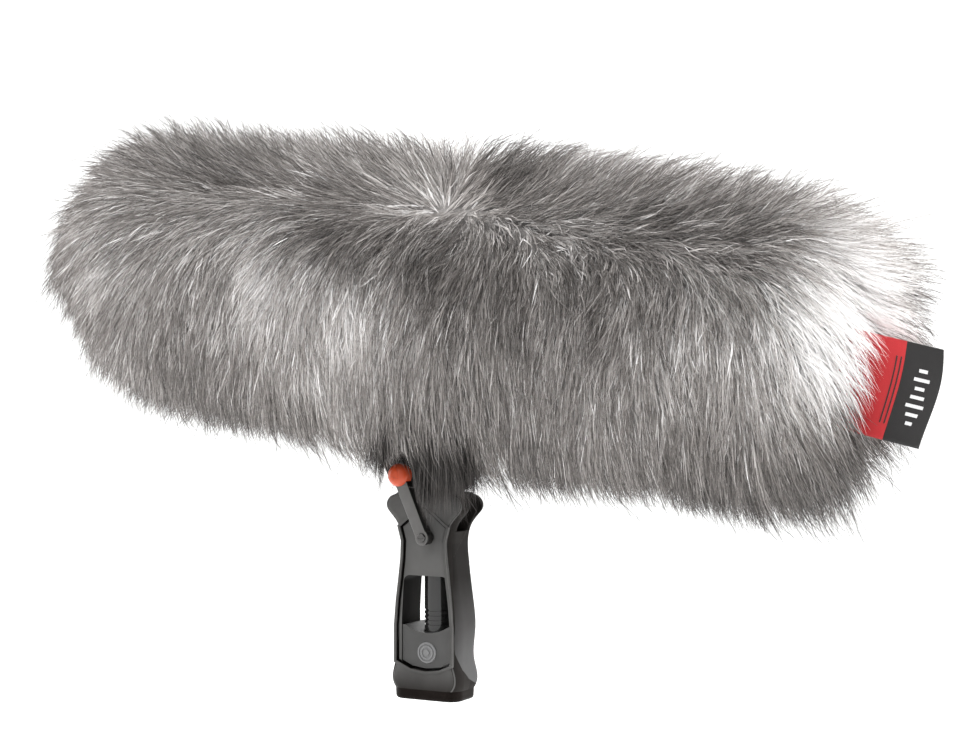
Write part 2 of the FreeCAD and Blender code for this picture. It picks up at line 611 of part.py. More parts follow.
# ---- cover --------------------------------------------------------------------
def cover(tab):
    inner, outer = BACKING_R
    slot = box(OPENING_X, (-OPENING_HALF, OPENING_HALF), (0.0, AXIS_Z - 20))
    wide = (OPENING_X[0] - HEM_W, OPENING_X[1] + HEM_W)
    wide_slot = box(wide, (-OPENING_HALF - HEM_W, OPENING_HALF + HEM_W), (0.0, AXIS_Z - 20))
    knit = capsule(outer, CAP_HALF + outer - TUBE_R, CAP_NOSE + outer - TUBE_R, 0)
    hollow = capsule(inner, CAP_HALF + inner - TUBE_R, CAP_NOSE + inner - TUBE_R, 0)
    seam = box(ZIP_X, (-2.6, 2.6), (0.0, AXIS_Z - 20))
    keep_tilted("cover_backing", knit.cut(hollow).cut([slot, seam]))
    hem = tube(outer + 2.6, outer, wide, AXIS_Z).common(wide_slot).cut(slot)
    keep_tilted("hem_binding", hem)
    swing = rod_y(SWING_R, PIVOT[0], (-SWING_HALF, SWING_HALF), PIVOT[1])
    channel = box((OPENING_X[1], ZIP_X[1] + 4), (-ZIP_CHANNEL, ZIP_CHANNEL), (0.0, AXIS_Z - 20))
    pile = capsule(FUR_R, FUR_HALF, FUR_NOSE, FUR_DROP).cut([knit, wide_slot, swing, channel, tab])
    keep_tilted("fur_cover", pile)
    keep_tilted("label_tab", tab.cut(knit))


def zip_fastener():
    outer = BACKING_R[1]
    strip = tube(outer + 1.2, outer, ZIP_X, AXIS_Z)
    sides = [box(ZIP_X, (2.4, ZIP_HALF), (0.0, AXIS_Z)), box(ZIP_X, (-ZIP_HALF, -2.4), (0.0, AXIS_Z))]
    keep_tilted("zip_tape", Part.Compound([strip.common(side) for side in sides]))
    keep_tilted("zip_teeth", box(ZIP_X, (-2.3, 2.3), (under(58.6), under(56.0))))
    x = SLIDER_X
    body = box(x, (-5.0, 5.0), (under(61.6), under(58.8)))
    body = fillet(body, 1.2, lambda e: is_along(e, V(0, 0, 1)))
    ears = [box((x[0] + 4, x[1] - 4), y, (under(65.0), under(61.4))) for y in ((2.2, 3.6), (-3.6, -2.2))]
    mid = (x[0] + x[1]) / 2
    pin = rod_y(0.7, mid, (-3.6, 3.6), under(63.6))
    keep_tilted("zip_slider", union([body, pin] + ears))
    pull = box((mid - 1.5, mid + 1.5), (-2.0, 2.0), (under(82.0), under(62.4)))
    pull = pull.cut([rod_y(0.75, mid, (-3.0, 3.0), under(63.6)), rod_y(0.8, mid, (-3.0, 3.0), under(79.0)),
                     box((mid - 3, mid + 3), (0.8, 3.0), (under(90.0), under(66.0))),
                     box((mid - 3, mid + 3), (-3.0, -0.8), (under(90.0), under(66.0)))])
    pull.rotate(V(mid, 0, under(63.6)), V(0, 1, 0), -REST_TILT)
    keep_tilted("zip_pull", pull)


def main():
    grip_shells()
    grip_base()
    connector_cradle()
    plug()
    pivot_and_clamp()
    clamp_lever()
    bore, rail_bores = yoke()
    front_lugs, rear_lugs = basket_tube(bore, rail_bores)
    cap("front_cap", -1, front_lugs)
    cap("rear_cap", 1, rear_lugs)
    inner_rail(rail_bores)
    suspension_bar()
    lyre("front_lyre", LYRE_X[0])
    lyre("rear_lyre", LYRE_X[1])
    lead = microphone_lead()
    cover(plate_xz([(a, AXIS_Z + b) for a, b in LABEL], LABEL_Y))
    zip_fastener()
    keep_tilted("mic_lead", lead)
    os.makedirs("parts", exist_ok=True)
    for name, shape in NODES.items():
        shape.exportStep("parts/" + name + ".step")


main()
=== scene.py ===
import json
import math

import bpy
import numpy as np
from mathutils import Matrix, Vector, kdtree


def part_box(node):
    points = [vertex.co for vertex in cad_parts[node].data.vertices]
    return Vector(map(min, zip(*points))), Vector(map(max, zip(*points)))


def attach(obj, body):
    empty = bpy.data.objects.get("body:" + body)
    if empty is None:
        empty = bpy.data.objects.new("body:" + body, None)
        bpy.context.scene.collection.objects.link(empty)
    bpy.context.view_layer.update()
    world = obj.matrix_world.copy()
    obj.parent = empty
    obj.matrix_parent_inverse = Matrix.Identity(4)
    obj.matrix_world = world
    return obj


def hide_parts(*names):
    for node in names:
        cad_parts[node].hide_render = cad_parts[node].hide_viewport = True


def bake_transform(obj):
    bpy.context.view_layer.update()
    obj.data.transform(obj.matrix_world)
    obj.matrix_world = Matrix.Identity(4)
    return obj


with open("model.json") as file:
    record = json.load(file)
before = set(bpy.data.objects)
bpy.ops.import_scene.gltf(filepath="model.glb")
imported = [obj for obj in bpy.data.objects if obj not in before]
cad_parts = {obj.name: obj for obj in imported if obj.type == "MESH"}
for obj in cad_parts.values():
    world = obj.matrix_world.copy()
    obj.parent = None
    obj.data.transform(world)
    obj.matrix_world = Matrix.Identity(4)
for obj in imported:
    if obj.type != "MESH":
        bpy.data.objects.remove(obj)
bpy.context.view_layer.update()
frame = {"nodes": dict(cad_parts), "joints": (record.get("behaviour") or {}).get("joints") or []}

rng = np.random.default_rng(7)
MM = 0.001
CAMERA_TURN = math.radians(28)      # how far the camera stands round from the near side towards the rear

# ---- the basket's own frame -----------------------------------------------------
# Lengths along the basket run from its middle towards the rear cap; "over" is its own up.
joints = {joint["name"]: joint for joint in frame["joints"]}


def joint_place(name):
    return np.array(joints[name]["pos_m"])


CENTRE = (joint_place("front_cap_twist") + joint_place("rear_cap_twist")) / 2
ALONG = np.array(joints["front_cap_twist"]["axis"], float)
ALONG /= np.linalg.norm(ALONG)
SIDE = np.array([0.0, 1.0, 0.0])
OVER = np.cross(ALONG, SIDE)
BASKET = np.stack([ALONG, SIDE, OVER])
DOWN = BASKET @ np.array([0.0, 0.0, -1.0])


def to_part(points):
    """Basket coordinates to the part's frame."""
    return CENTRE + np.asarray(points) @ BASKET


def to_basket(points):
    return (np.asarray(points) - CENTRE) @ BASKET.T


def unit(vectors):
    return vectors / np.maximum(np.linalg.norm(vectors, axis=-1, keepdims=True), 1e-9)


def smooth(low, high, value):
    """0 at low, 1 at high, with soft ends."""
    t = np.clip((value - low) / (high - low), 0.0, 1.0)
    return t * t * (3 - 2 * t)


# ---- materials ------------------------------------------------------------------
def new_material(name, roughness, specular=0.5, metallic=0.0):
    mat = bpy.data.materials.new(name)
    mat.use_nodes = True
    shader = mat.node_tree.nodes["Principled BSDF"]
    shader.inputs["Roughness"].default_value = roughness
    shader.inputs["Specular IOR Level"].default_value = specular
    shader.inputs["Metallic"].default_value = metallic
    return mat, mat.node_tree, shader


def object_place(tree):
    return tree.nodes.new("ShaderNodeTexCoord").outputs["Object"]


def object_axes(tree, output="Object"):
    """X, Y and Z of the object's own coordinates, or of its normals."""
    parts = tree.nodes.new("ShaderNodeSeparateXYZ")
    tree.links.new(tree.nodes.new("ShaderNodeTexCoord").outputs[output], parts.inputs["Vector"])
    return parts.outputs


def noise(tree, scale, detail=4.0, rough=0.6, stretch=(1, 1, 1)):
    mapping = tree.nodes.new("ShaderNodeMapping")
    mapping.inputs["Scale"].default_value = stretch
    tree.links.new(object_place(tree), mapping.inputs["Vector"])
    made = tree.nodes.new("ShaderNodeTexNoise")
    made.inputs["Scale"].default_value = scale
    made.inputs["Detail"].default_value = detail
    made.inputs["Roughness"].default_value = rough
    tree.links.new(mapping.outputs["Vector"], made.inputs["Vector"])
    return made.outputs["Fac"]


def ramp(tree, factor, stops):
    made = tree.nodes.new("ShaderNodeValToRGB")
    made.color_ramp.elements[0].position = stops[0][0]
    made.color_ramp.elements[0].color = (*stops[0][1], 1.0)
    made.color_ramp.elements[1].position = stops[-1][0]
    made.color_ramp.elements[1].color = (*stops[-1][1], 1.0)
    for position, colour in stops[1:-1]:
        made.color_ramp.elements.new(position).color = (*colour, 1.0)
    tree.links.new(factor, made.inputs["Fac"])
    return made.outputs["Color"]


def arithmetic(tree, operation, first, second):
    made = tree.nodes.new("ShaderNodeMath")
    made.operation = operation
    for socket, value in zip(made.inputs, (first, second)):
        if isinstance(value, (int, float)):
            socket.default_value = value
        else:
            tree.links.new(value, socket)
    return made.outputs[0]


def chain(tree, operation, first, *others):
    """One operation over three or more values."""
    for other in others:
        first = arithmetic(tree, operation, first, other)
    return first


def mix_colour(tree, factor, first, second):
    made = tree.nodes.new("ShaderNodeMix")
    made.data_type = "RGBA"
    tree.links.new(factor, made.inputs["Factor"])
    for socket, value in ((made.inputs["A"], first), (made.inputs["B"], second)):
        if isinstance(value, tuple):
            socket.default_value = (*value, 1.0)
        else:
            tree.links.new(value, socket)
    return made.outputs["Result"]


def add_bump(tree, shader, height, strength, distance):
    made = tree.nodes.new("ShaderNodeBump")
    made.inputs["Strength"].default_value = strength
    made.inputs["Distance"].default_value = distance
    tree.links.new(height, made.inputs["Height"])
    tree.links.new(made.outputs["Normal"], shader.inputs["Normal"])


def scaled(colour, by):
    return tuple(min(1.0, channel * by) for channel in colour)


def moulded(name, colour, roughness, grain=2600.0, depth=0.00006, specular=0.18):
    """Moulded plastic or rubber: fine grain, slow shifts of tone, uneven gloss."""
    mat, tree, shader = new_material(name, roughness, specular)
    slow = noise(tree, 38.0, 3.0)
    tree.links.new(ramp(tree, slow, [(0.3, scaled(colour, 0.88)), (0.7, scaled(colour, 1.14))]),
                   shader.inputs["Base Color"])
    add_bump(tree, shader, noise(tree, grain, 2.0), 0.35, depth)
    return mat


def metal(name, colour, roughness, stretch=(1, 1, 8)):
    mat, tree, shader = new_material(name, roughness, 0.5, 1.0)
    lines = noise(tree, 700.0, 3.0, 0.7, stretch)
    tree.links.new(ramp(tree, lines, [(0.3, scaled(colour, 0.8)), (0.7, colour)]),
                   shader.inputs["Base Color"])
    add_bump(tree, shader, lines, 0.2, 0.00003)
    return mat


def weave(tree, pitch, turn=0.0):
    """Height of a plain weave: two crossed sets of threads."""
    mapping = tree.nodes.new("ShaderNodeMapping")
    mapping.inputs["Rotation"].default_value = (0.0, turn, 0.0)
    tree.links.new(object_place(tree), mapping.inputs["Vector"])
    threads = []
    for direction in ("X", "Z"):
        wave = tree.nodes.new("ShaderNodeTexWave")
        wave.bands_direction = direction
        wave.inputs["Scale"].default_value = math.pi / 10 / pitch       # this puts the bands a pitch apart
        wave.inputs["Distortion"].default_value = 0.4
        tree.links.new(mapping.outputs["Vector"], wave.inputs["Vector"])
        threads.append(wave.outputs["Fac"])
    return arithmetic(tree, "MULTIPLY", threads[0], threads[1])


def fabric(name, colour, pitch, roughness=0.85, turn=0.0):
    mat, tree, shader = new_material(name, roughness, 0.2)
    shader.inputs["Sheen Weight"].default_value = 0.25
    height = weave(tree, pitch, turn)
    tree.links.new(ramp(tree, height, [(0.0, scaled(colour, 0.55)), (0.6, scaled(colour, 1.15))]),
                   shader.inputs["Base Color"])
    add_bump(tree, shader, height, 0.6, pitch * 0.4)
    return mat


# The grip's plastic changes tone with the place on the grip and the way the surface faces: a paler sunk panel, painted
# highlights on its rims and foot, and painted shade on walls that face the rear.
GRIP_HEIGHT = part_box("side_grip_rear")[1].z
PANEL_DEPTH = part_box("handle_near")[0].y + 1.8 * MM
PANEL_MARGIN = 0.25 * MM
RIM_MARGIN = 0.4 * MM               # the rims start this far in front of the panel
RIM_HIGHLIGHT_SHARE = 0.78                    # of the panel's paleness, painted on the rims as a highlight
# the foot's painted highlight grows paler upwards from FOOT_LOW and ends at FOOT_TOP
FOOT_TOP = 21 * MM
FOOT_LOW = 5 * MM
WALL_FACING = 0.3                   # least X of the normal on a wall that faces the rear
WALL_LIMIT = -5 * MM                # such walls lie ahead of this
WALL_STEP = 0.9 * MM                # of the panel's step is in shadow
SHELL_DARK = [(0.3, (0.0105, 0.0095, 0.0088)), (0.7, (0.017, 0.0155, 0.0145))]
# grey of the sunk panel, also painted on the rims and foot as a highlight
PANEL_GREY_AND_HIGHLIGHT = [(0.3, (0.06, 0.059, 0.0575)), (0.7, (0.08, 0.079, 0.077))]
FAR_SHELL = [(0.3, (0.0092, 0.0084, 0.0077)), (0.7, (0.012, 0.0108, 0.01))]
SHADOWED = (0.003, 0.0026, 0.0022)
# painted shade and light on the grip rubber, from its foot (pale) to its head (dark)
RUBBER_SHADE_RAMP = [(0.3, (0.058, 0.0575, 0.0575)), (0.6, (0.03, 0.029, 0.0285)), (0.86, (0.008, 0.0072, 0.0066))]
LEVER_FACE = [(0.3, (0.07, 0.068, 0.066)), (0.7, (0.092, 0.09, 0.087))]
# painted shade for the lever's side that faces the rear
LEVER_SIDE_SHADE = (0.006, 0.0055, 0.005)
LEVER_FACING = 0.45


def painted_wall_shade(tree):
    """Mask of the walls on the grip's front side that get painted shade, in the window and beside the panel."""
    place = object_axes(tree)
    faces_rear = arithmetic(tree, "GREATER_THAN", object_axes(tree, "Normal")["X"], WALL_FACING)
    in_front = arithmetic(tree, "LESS_THAN", place["X"], WALL_LIMIT)
    deep = arithmetic(tree, "GREATER_THAN", place["Y"], PANEL_DEPTH - WALL_STEP)
    return chain(tree, "MULTIPLY", faces_rear, in_front, deep)


def far_plastic(name):
    """Near-black far half of the grip, with painted shade on the walls of its window."""
    mat, tree, shader = new_material(name, 0.6, 0.02)
    colour = ramp(tree, noise(tree, 38.0, 3.0), FAR_SHELL)
    # painted shade on the walls that face the rear
    tree.links.new(mix_colour(tree, painted_wall_shade(tree), colour, SHADOWED), shader.inputs["Base Color"])
    add_bump(tree, shader, noise(tree, 2600.0, 2.0), 0.35, 0.00006)
    return mat


def handle_plastic(name):
    """Near-black shell; its sunk front panel is a lighter satin grey, and the rims round it and its foot get a painted
    highlight in that grey.
    """
    mat, tree, shader = new_material(name, 0.55, 0.02)
    place = object_axes(tree)
    off_panel = arithmetic(tree, "ABSOLUTE", arithmetic(tree, "SUBTRACT", place["Y"], PANEL_DEPTH), 0.0)
    panel = arithmetic(tree, "LESS_THAN", off_panel, PANEL_MARGIN)
    proud = arithmetic(tree, "LESS_THAN", place["Y"], PANEL_DEPTH - RIM_MARGIN)
    low = arithmetic(tree, "LESS_THAN", place["Z"], FOOT_TOP)
    climbed = arithmetic(tree, "SUBTRACT", place["Z"], FOOT_LOW)
    rising = arithmetic(tree, "DIVIDE", climbed, FOOT_TOP - FOOT_LOW)
    # painted highlight on the foot, paler upwards
    foot = chain(tree, "MULTIPLY", proud, low, rising)
    # painted highlight on the rims above the foot
    above_foot = arithmetic(tree, "SUBTRACT", RIM_HIGHLIGHT_SHARE, arithmetic(tree, "MULTIPLY", low, RIM_HIGHLIGHT_SHARE))
    rims = arithmetic(tree, "MULTIPLY", proud, above_foot)
    slow = noise(tree, 45.0, 3.0)
    coloured = mix_colour(tree, chain(tree, "MAXIMUM", foot, rims, panel),
                          ramp(tree, slow, SHELL_DARK), ramp(tree, slow, PANEL_GREY_AND_HIGHLIGHT))
    # painted shade on the walls in the window and beside the panel
    tree.links.new(mix_colour(tree, painted_wall_shade(tree), coloured, SHADOWED), shader.inputs["Base Color"])
    add_bump(tree, shader, noise(tree, 2600.0, 2.0), 0.3, 0.00005)
    return mat


def grip_rubber(name):
    """Matt rubber with painted shade: dark by the head of the grip, under the pile, and painted paler towards its foot
    where light falls.
    """
    mat, tree, shader = new_material(name, 0.62, 0.03)
    height = arithmetic(tree, "DIVIDE", object_axes(tree)["Z"], GRIP_HEIGHT)
    uneven = arithmetic(tree, "MULTIPLY", noise(tree, 60.0, 4.0), 0.16)
    tree.links.new(ramp(tree, arithmetic(tree, "ADD", height, uneven), RUBBER_SHADE_RAMP), shader.inputs["Base Color"])
    add_bump(tree, shader, noise(tree, 1500.0, 2.0), 0.4, 0.0001)
    return mat


def lever_plastic(name):
    """Satin grey on the broad face; the side that faces the rear gets painted shade, near black."""
    mat, tree, shader = new_material(name, 0.4, 0.12)
    # painted shade on the side that faces the rear
    side = arithmetic(tree, "GREATER_THAN", object_axes(tree, "Normal")["X"], LEVER_FACING)
    face = ramp(tree, noise(tree, 60.0, 3.0), LEVER_FACE)
    tree.links.new(mix_colour(tree, side, face, LEVER_SIDE_SHADE), shader.inputs["Base Color"])
    add_bump(tree, shader, noise(tree, 2400.0, 2.0), 0.3, 0.00005)
    return mat


def label_cloth(name, colour):
    return fabric(name, colour, 0.45 * MM, 0.62, math.radians(8.0))


MATERIALS = {
    "shell": handle_plastic("shell_plastic"),
    "black": far_plastic("black_plastic"),
    "lever": lever_plastic("lever_plastic"),
    "carrier": moulded("carrier_plastic", (0.0065, 0.006, 0.0056), 0.5, specular=0.08),
    "cradle": moulded("cradle_plastic", (0.046, 0.0455, 0.0445), 0.4),
    "base": moulded("base_plastic", (0.005, 0.0036, 0.003), 0.42, specular=0.03),
    "grip": grip_rubber("grip_rubber"),
    "orange": moulded("orange_plastic", (0.36, 0.047, 0.014), 0.3, 1800.0, 0.00004, 0.3),
    "basket": moulded("basket_plastic", (0.09, 0.09, 0.092), 0.5),
    "insert": moulded("insert_plastic", (0.05, 0.05, 0.052), 0.5),
    "boot": moulded("boot_rubber", (0.02, 0.02, 0.02), 0.7, 1500.0),
    "badge": moulded("badge_disc", (0.13, 0.13, 0.131), 0.35),
    "steel": metal("bright_steel", (0.5, 0.5, 0.51), 0.28),
    "blackened": metal("blackened_steel", (0.09, 0.088, 0.086), 0.24),
    "brass": metal("turned_brass", (0.7, 0.5, 0.22), 0.32),
    "gold": metal("contact_gold", (0.85, 0.62, 0.25), 0.25),
    "coated": moulded("coated_metal", (0.009, 0.0088, 0.0085), 0.16, 3000.0, 0.00002, 0.55),
    "gauze": fabric("fine_gauze", (0.12, 0.12, 0.125), 1.0 * MM),
    "knit": fabric("knitted_backing", (0.09, 0.09, 0.092), 1.4 * MM),
    "hem": fabric("hem_binding", (0.03, 0.03, 0.032), 0.8 * MM),
    "zip_tape": fabric("zip_tape", (0.025, 0.025, 0.026), 0.6 * MM),
}

NODE_FINISH = {
    "shell": ["handle_near"],
    "black": ["handle_far"],
    "lever": ["lever_arm"],
    "carrier": ["yoke", "saddle"],
    "cradle": ["connector_cradle"],
    "base": ["base_cap"],
    "grip": ["side_grip_front", "side_grip_rear"],
    "orange": ["lever_knob"],
    "basket": ["basket_tube", "front_lock_ring", "rear_lock_ring", "front_cap_frame", "rear_cap_frame",
               "inner_rail", "suspension_bar", "front_lyre", "rear_lyre", "tail_clip", "zip_teeth"],
    "insert": ["plug_insert"],
    "boot": ["plug_boot", "washer_near", "washer_far"],
    "badge": ["cradle_badge"],
    "blackened": ["lever_screw"],
    "steel": ["pivot_axle", "clamp_bolt", "base_screws", "handle_screws", "yoke_screws",
              "rail_screws", "front_lyre_screw", "rear_lyre_screw"],
    "brass": ["thread_insert"],
    "gold": ["plug_pins"],
    "coated": ["plug_shell", "tail_plug", "clamp_nut", "bar_lock", "zip_slider", "zip_pull"],
    "gauze": ["tube_gauze", "front_cap_gauze", "rear_cap_gauze"],
    "knit": ["cover_backing"],
    "hem": ["hem_binding"],
    "zip_tape": ["zip_tape"],
}


def finish_cad_nodes():
    """Gives each CAD part that stays visible its material."""
    for finish, names in NODE_FINISH.items():
        for name in names:
            part = frame["nodes"][name]
            part.data.materials.clear()
            part.data.materials.append(MATERIALS[finish])


# ---- mesh helpers ---------------------------------------------------------------
def put_in_scene(name, data):
    made = bpy.data.objects.new(name, data)
    bpy.context.scene.collection.objects.link(made)
    return made


def mesh_piece(name, verts, faces, materials, face_slots=None, smooth_faces=True):
    """Mesh from an (n, 3) array and an (m, 4) array of corner numbers."""
    data = bpy.data.meshes.new(name)
    count = faces.shape[1]
    data.vertices.add(len(verts))
    data.vertices.foreach_set("co", np.ascontiguousarray(verts, dtype=np.float32).ravel())
    data.loops.add(faces.size)
    data.loops.foreach_set("vertex_index", np.ascontiguousarray(faces, dtype=np.int32).ravel())
    data.polygons.add(len(faces))
    data.polygons.foreach_set("loop_start", np.arange(0, faces.size, count, dtype=np.int32))
    for mat in materials:
        data.materials.append(mat)
    if face_slots is not None:
        data.polygons.foreach_set("material_index", np.ascontiguousarray(face_slots, dtype=np.int32))
    data.polygons.foreach_set("use_smooth", np.full(len(faces), smooth_faces))
    data.update(calc_edges=True)
    return put_in_scene(name, data)


def ring_quads(rings, rounds):
    """Quads of a tube whose vertices come ring by ring."""
    index = np.arange(rings * rounds).reshape(rings, rounds)
    after = np.roll(index, -1, axis=1)
    return np.stack([index[:-1], after[:-1], after[1:], index[1:]], axis=-1).reshape(-1, 4)


def slab(near, far):
    """Closed thin solid between two equal grids of points: vertices and quads."""
    shape = near.shape[:2]
    count = shape[0] * shape[1]
    index = np.arange(count).reshape(shape)
    corners = [index[:-1, :-1], index[1:, :-1], index[1:, 1:], index[:-1, 1:]]
    front = np.stack(corners, axis=-1).reshape(-1, 4)
    rim = np.concatenate([index[:, 0], index[-1, 1:], index[-2::-1, -1], index[0, -2:0:-1]])
    after = np.roll(rim, -1)
    edge = np.stack([rim, rim + count, after + count, after], axis=-1)
    verts = np.concatenate([near.reshape(-1, 3), far.reshape(-1, 3)])
    return verts, np.concatenate([front, front[:, ::-1] + count, edge])


# ---- pile: the form that the hair grows from --------------------------------------
class Pod:
    """Round-ended form about an axis `drop` below the basket's; its two ends differ."""

    def __init__(self, radius, ends, noses, drop):
        self.radius = radius
        self.noses = noses
        self.drop = drop
        self.flats = (ends[0] + noses[0], ends[1] - noses[1])

    def past(self, along):
        """How far into a nose a point is, signed, and the length of that nose."""
        before = np.clip(along - self.flats[0], None, 0)
        after = np.clip(along - self.flats[1], 0, None)
        return before + after, np.where(before < 0, self.noses[0], self.noses[1])

    def reach(self, along):
        """Radius of the form at a position along it."""
        past, nose = self.past(along)
        return self.radius * np.sqrt(np.clip(1 - (past / nose)**2, 0, 1))

    def normal(self, points):
        past, nose = self.past(points[..., 0])
        rise = points[..., 2] + self.drop
        parts = [past / nose**2, points[..., 1] / self.radius**2, rise / self.radius**2]
        return unit(np.stack(parts, axis=-1))

    def point(self, along, angle):
        """Surface point; angle 0 faces the front of the scene and 90 degrees is up."""
        reach = self.reach(along)
        return np.stack([along, -reach * np.cos(angle), reach * np.sin(angle) - self.drop], axis=-1)

    def stations(self, steps):
        """Positions along the form, close together on the noses."""
        turn = np.linspace(0, math.pi / 2, steps)
        front = self.flats[0] - self.noses[0] * np.sin(turn[::-1])
        rear = self.flats[1] + self.noses[1] * np.sin(turn)
        return np.concatenate([front, np.linspace(*self.flats, 4 * steps)[1:-1], rear])

    def scatter(self, count):
        """Random points, evenly spread over the surface."""
        places = self.stations(60)
        radii = self.reach(places)
        strip = np.hypot(np.diff(places), np.diff(radii)) * (radii[1:] + radii[:-1]) / 2
        total = np.concatenate([[0], np.cumsum(strip)])
        along = np.interp(rng.random(count) * total[-1], total, places)
        return self.point(along, rng.random(count) * 2 * math.pi)


ROOTS = Pod(68 * MM, (-241 * MM, 251 * MM), (62 * MM, 36 * MM), 4 * MM)

# The combing. A pair of values holds at the crown and well ahead of it.
PART_ANGLE = math.radians(47)       # the parting runs along the form at this angle
PART_WIDTH = 16 * MM
PART_PULL = 0.95
PART_RUN = 55 * MM
CROWN = 47 * MM
CROWN_FADE = 70 * MM
BAND_BELOW = 30 * MM                # how far from the parting the hair has turned away from it
BAND_ABOVE = (26 * MM, 90 * MM)
LEAN_ABOVE = (0.36, -0.1)
LEAN_BELOW = 0.12
FAN_ABOVE = 300 * MM
FAN_BELOW = (310 * MM, 420 * MM)    # ahead of the crown and behind it
WAVES = [(0.15, 61, 35), (0.12, 143, -70)]
NOSE_SAG = 0.7
# The growth of a guide hair. Angles are in degrees off the form.
LEAST_RISE = 4
TOP_RISE = 14
REAR_RISE = 26
STIFFNESS = 0.4
SHOULDER_STIFFNESS = 0.45           # added where the hair stands out at the top of the rear end
SHOULDER_ALONG = (205 * MM, 232 * MM)
SHOULDER_ANGLE = (math.radians(35), math.radians(65))
DROOP = 0.2
DROOP_UNDERNEATH = 1.5
STRAY_AT_ROOT = 0.35


def around(points):
    """Angle round the axis, from -90 at the bottom, 0 in front, to 270 degrees."""
    angle = np.arctan2(points[..., 2] + ROOTS.drop, -points[..., 1])
    return np.where(angle < -math.pi / 2, angle + 2 * math.pi, angle)


def comb(points, normal):
    """Way the hair lies: along a parting high on the front side, away from a crown, then down or up."""
    up = unit(np.cross(normal, np.array([1.0, 0.0, 0.0])))
    forth = unit(np.cross(up, normal))
    below = (PART_ANGLE - around(points)) * ROOTS.radius
    under = below > 0
    away = points[..., 0] - CROWN
    ahead = smooth(0, CROWN_FADE, -away)
    band_above, lean = (near + (far - near) * ahead for near, far in (BAND_ABOVE, LEAN_ABOVE))
    band = np.where(under, BAND_BELOW, band_above)
    along_part = PART_PULL * np.tanh(away / PART_RUN) * np.exp(-(below / band)**2)
    fan_below = np.sign(away) * (away / np.where(away > 0, FAN_BELOW[1], FAN_BELOW[0]))**2 + LEAN_BELOW
    run = along_part + np.where(under, fan_below, away / FAN_ABOVE + lean)
    wander = sum(size * np.sin(points[..., 0] * lengthwise + below * across)
                 for size, lengthwise, across in WAVES)
    turned = np.tanh(below / band)
    way = unit(forth * (run + wander)[..., None] - up * turned[..., None])
    sag = unit(DOWN - normal * (normal @ DOWN)[..., None])
    low_side = smooth(0.35, -0.35, -normal @ DOWN)
    nose = NOSE_SAG * low_side[..., None] * smooth(0.6, 0.98, np.abs(normal[..., 0]))[..., None]
    return unit(way * (1 - nose) + sag * nose)


def grow(roots, steps, length, lift, stray):
    """Guide hairs as (count, steps + 1, 3) points."""
    shoulder = smooth(*SHOULDER_ALONG, roots[:, 0]) * smooth(*SHOULDER_ANGLE, around(roots))
    straight = STIFFNESS + SHOULDER_STIFFNESS * shoulder[:, None]
    path = [roots]
    way = None
    here = roots
    for step in range(steps):
        t = step / steps
        normal = ROOTS.normal(here)
        under = np.clip(normal @ DOWN, 0, 1)
        top = np.clip(-(normal @ DOWN), 0, 1)
        parting = np.exp(-((PART_ANGLE - around(here)) * ROOTS.radius / PART_WIDTH)**2)
        face = np.clip(-normal[:, 1], 0, 1)
        raised = TOP_RISE * top**2 + REAR_RISE * smooth(0.3, 0.95, normal[:, 0]) * (1 - parting)
        angle = lift * (1 - 0.4 * face) * (1 - 0.5 * parting) * (1 - t) ** 0.7
        angle = angle + np.radians(LEAST_RISE + raised)
        heading = comb(here, normal) * np.cos(angle)[:, None] + normal * np.sin(angle)[:, None]
        weight = DROOP * t + DROOP_UNDERNEATH * under * t
        heading = unit(heading + DOWN * weight[:, None] + stray * (STRAY_AT_ROOT + t))
        way = heading if way is None else unit(way * straight + heading * (1 - straight))
        here = here + way * (length / steps)[:, None]
        path.append(here)
    return np.stack(path, axis=1)


# ---- pile: tones ----------------------------------------------------------------
# Light and dark patches in the pile, partly its own tone and partly painted light and shade (a lit top ridge and rear
# end, a shaded fringe over the grip): place along the form in mm, angle in degrees, the spreads of both, change of
# tone.
TONE_AND_LIGHT_PATCHES = [
    (-60, 2, 26, 30, 0.42),
    (-25, -36, 24, 18, 0.34),
    (-17, 31, 34, 13, -0.42),
    (105, 22, 60, 14, -0.22),
    (186, 46, 48, 13, -0.42),
    (162, -20, 34, 18, 0.16),
    (-150, -20, 40, 22, -0.10),
    (-170, 20, 34, 22, 0.18),
    # painted light on the top ridge
    (110, 97, 170, 20, 0.65),
    (20, -80, 200, 30, -0.28),
    (60, 5, 40, 26, -0.10),
    # painted light on the rear end, near white
    (258, 30, 28, 40, 3.4),
    (240, -40, 34, 26, -0.25),
    (240, -36, 26, 26, 0.3),
    (-172, -3, 32, 36, 0.32),
    (-111, 0, 28, 26, 0.16),
    (-126, 55, 50, 16, -0.5),
    (-69, 5, 24, 24, 0.42),
    (29, 24, 36, 14, -0.34),
    (47, 46, 24, 12, -0.25),
    (42, 66, 30, 12, -0.45),
    (215, 75, 50, 22, 0.2),
    (-126, 55, 30, 12, 0.12),
    (-4, -2, 26, 28, 0.75),
    (199, 4, 40, 22, 0.22),
    (223, -59, 46, 20, -0.5),
    # painted shade on the fringe over the grip's head
    (30, -74, 30, 12, -0.9),
]
SPECKLE = 0.10


def tone_shift(points):
    """How much lighter or darker the pile is here, as a power of e; part of it is painted light and shade."""
    degrees = np.degrees(around(points))
    along = points[:, 0] / MM
    shift = np.zeros(len(points))
    for x, turn, wide, high, change in TONE_AND_LIGHT_PATCHES:
        shift += change * np.exp(-((along - x) / wide) ** 2 - ((degrees - turn) / high) ** 2)
    shift += SPECKLE * np.sin(along / 17 + degrees / 13) * np.sin(along / 41 - degrees / 23)
    return shift


SHADES = 16
DARKEST = 0.016
LIGHTEST = 0.86
BASE_LEVEL = 0.56                   # brightness of a hair with no change of tone


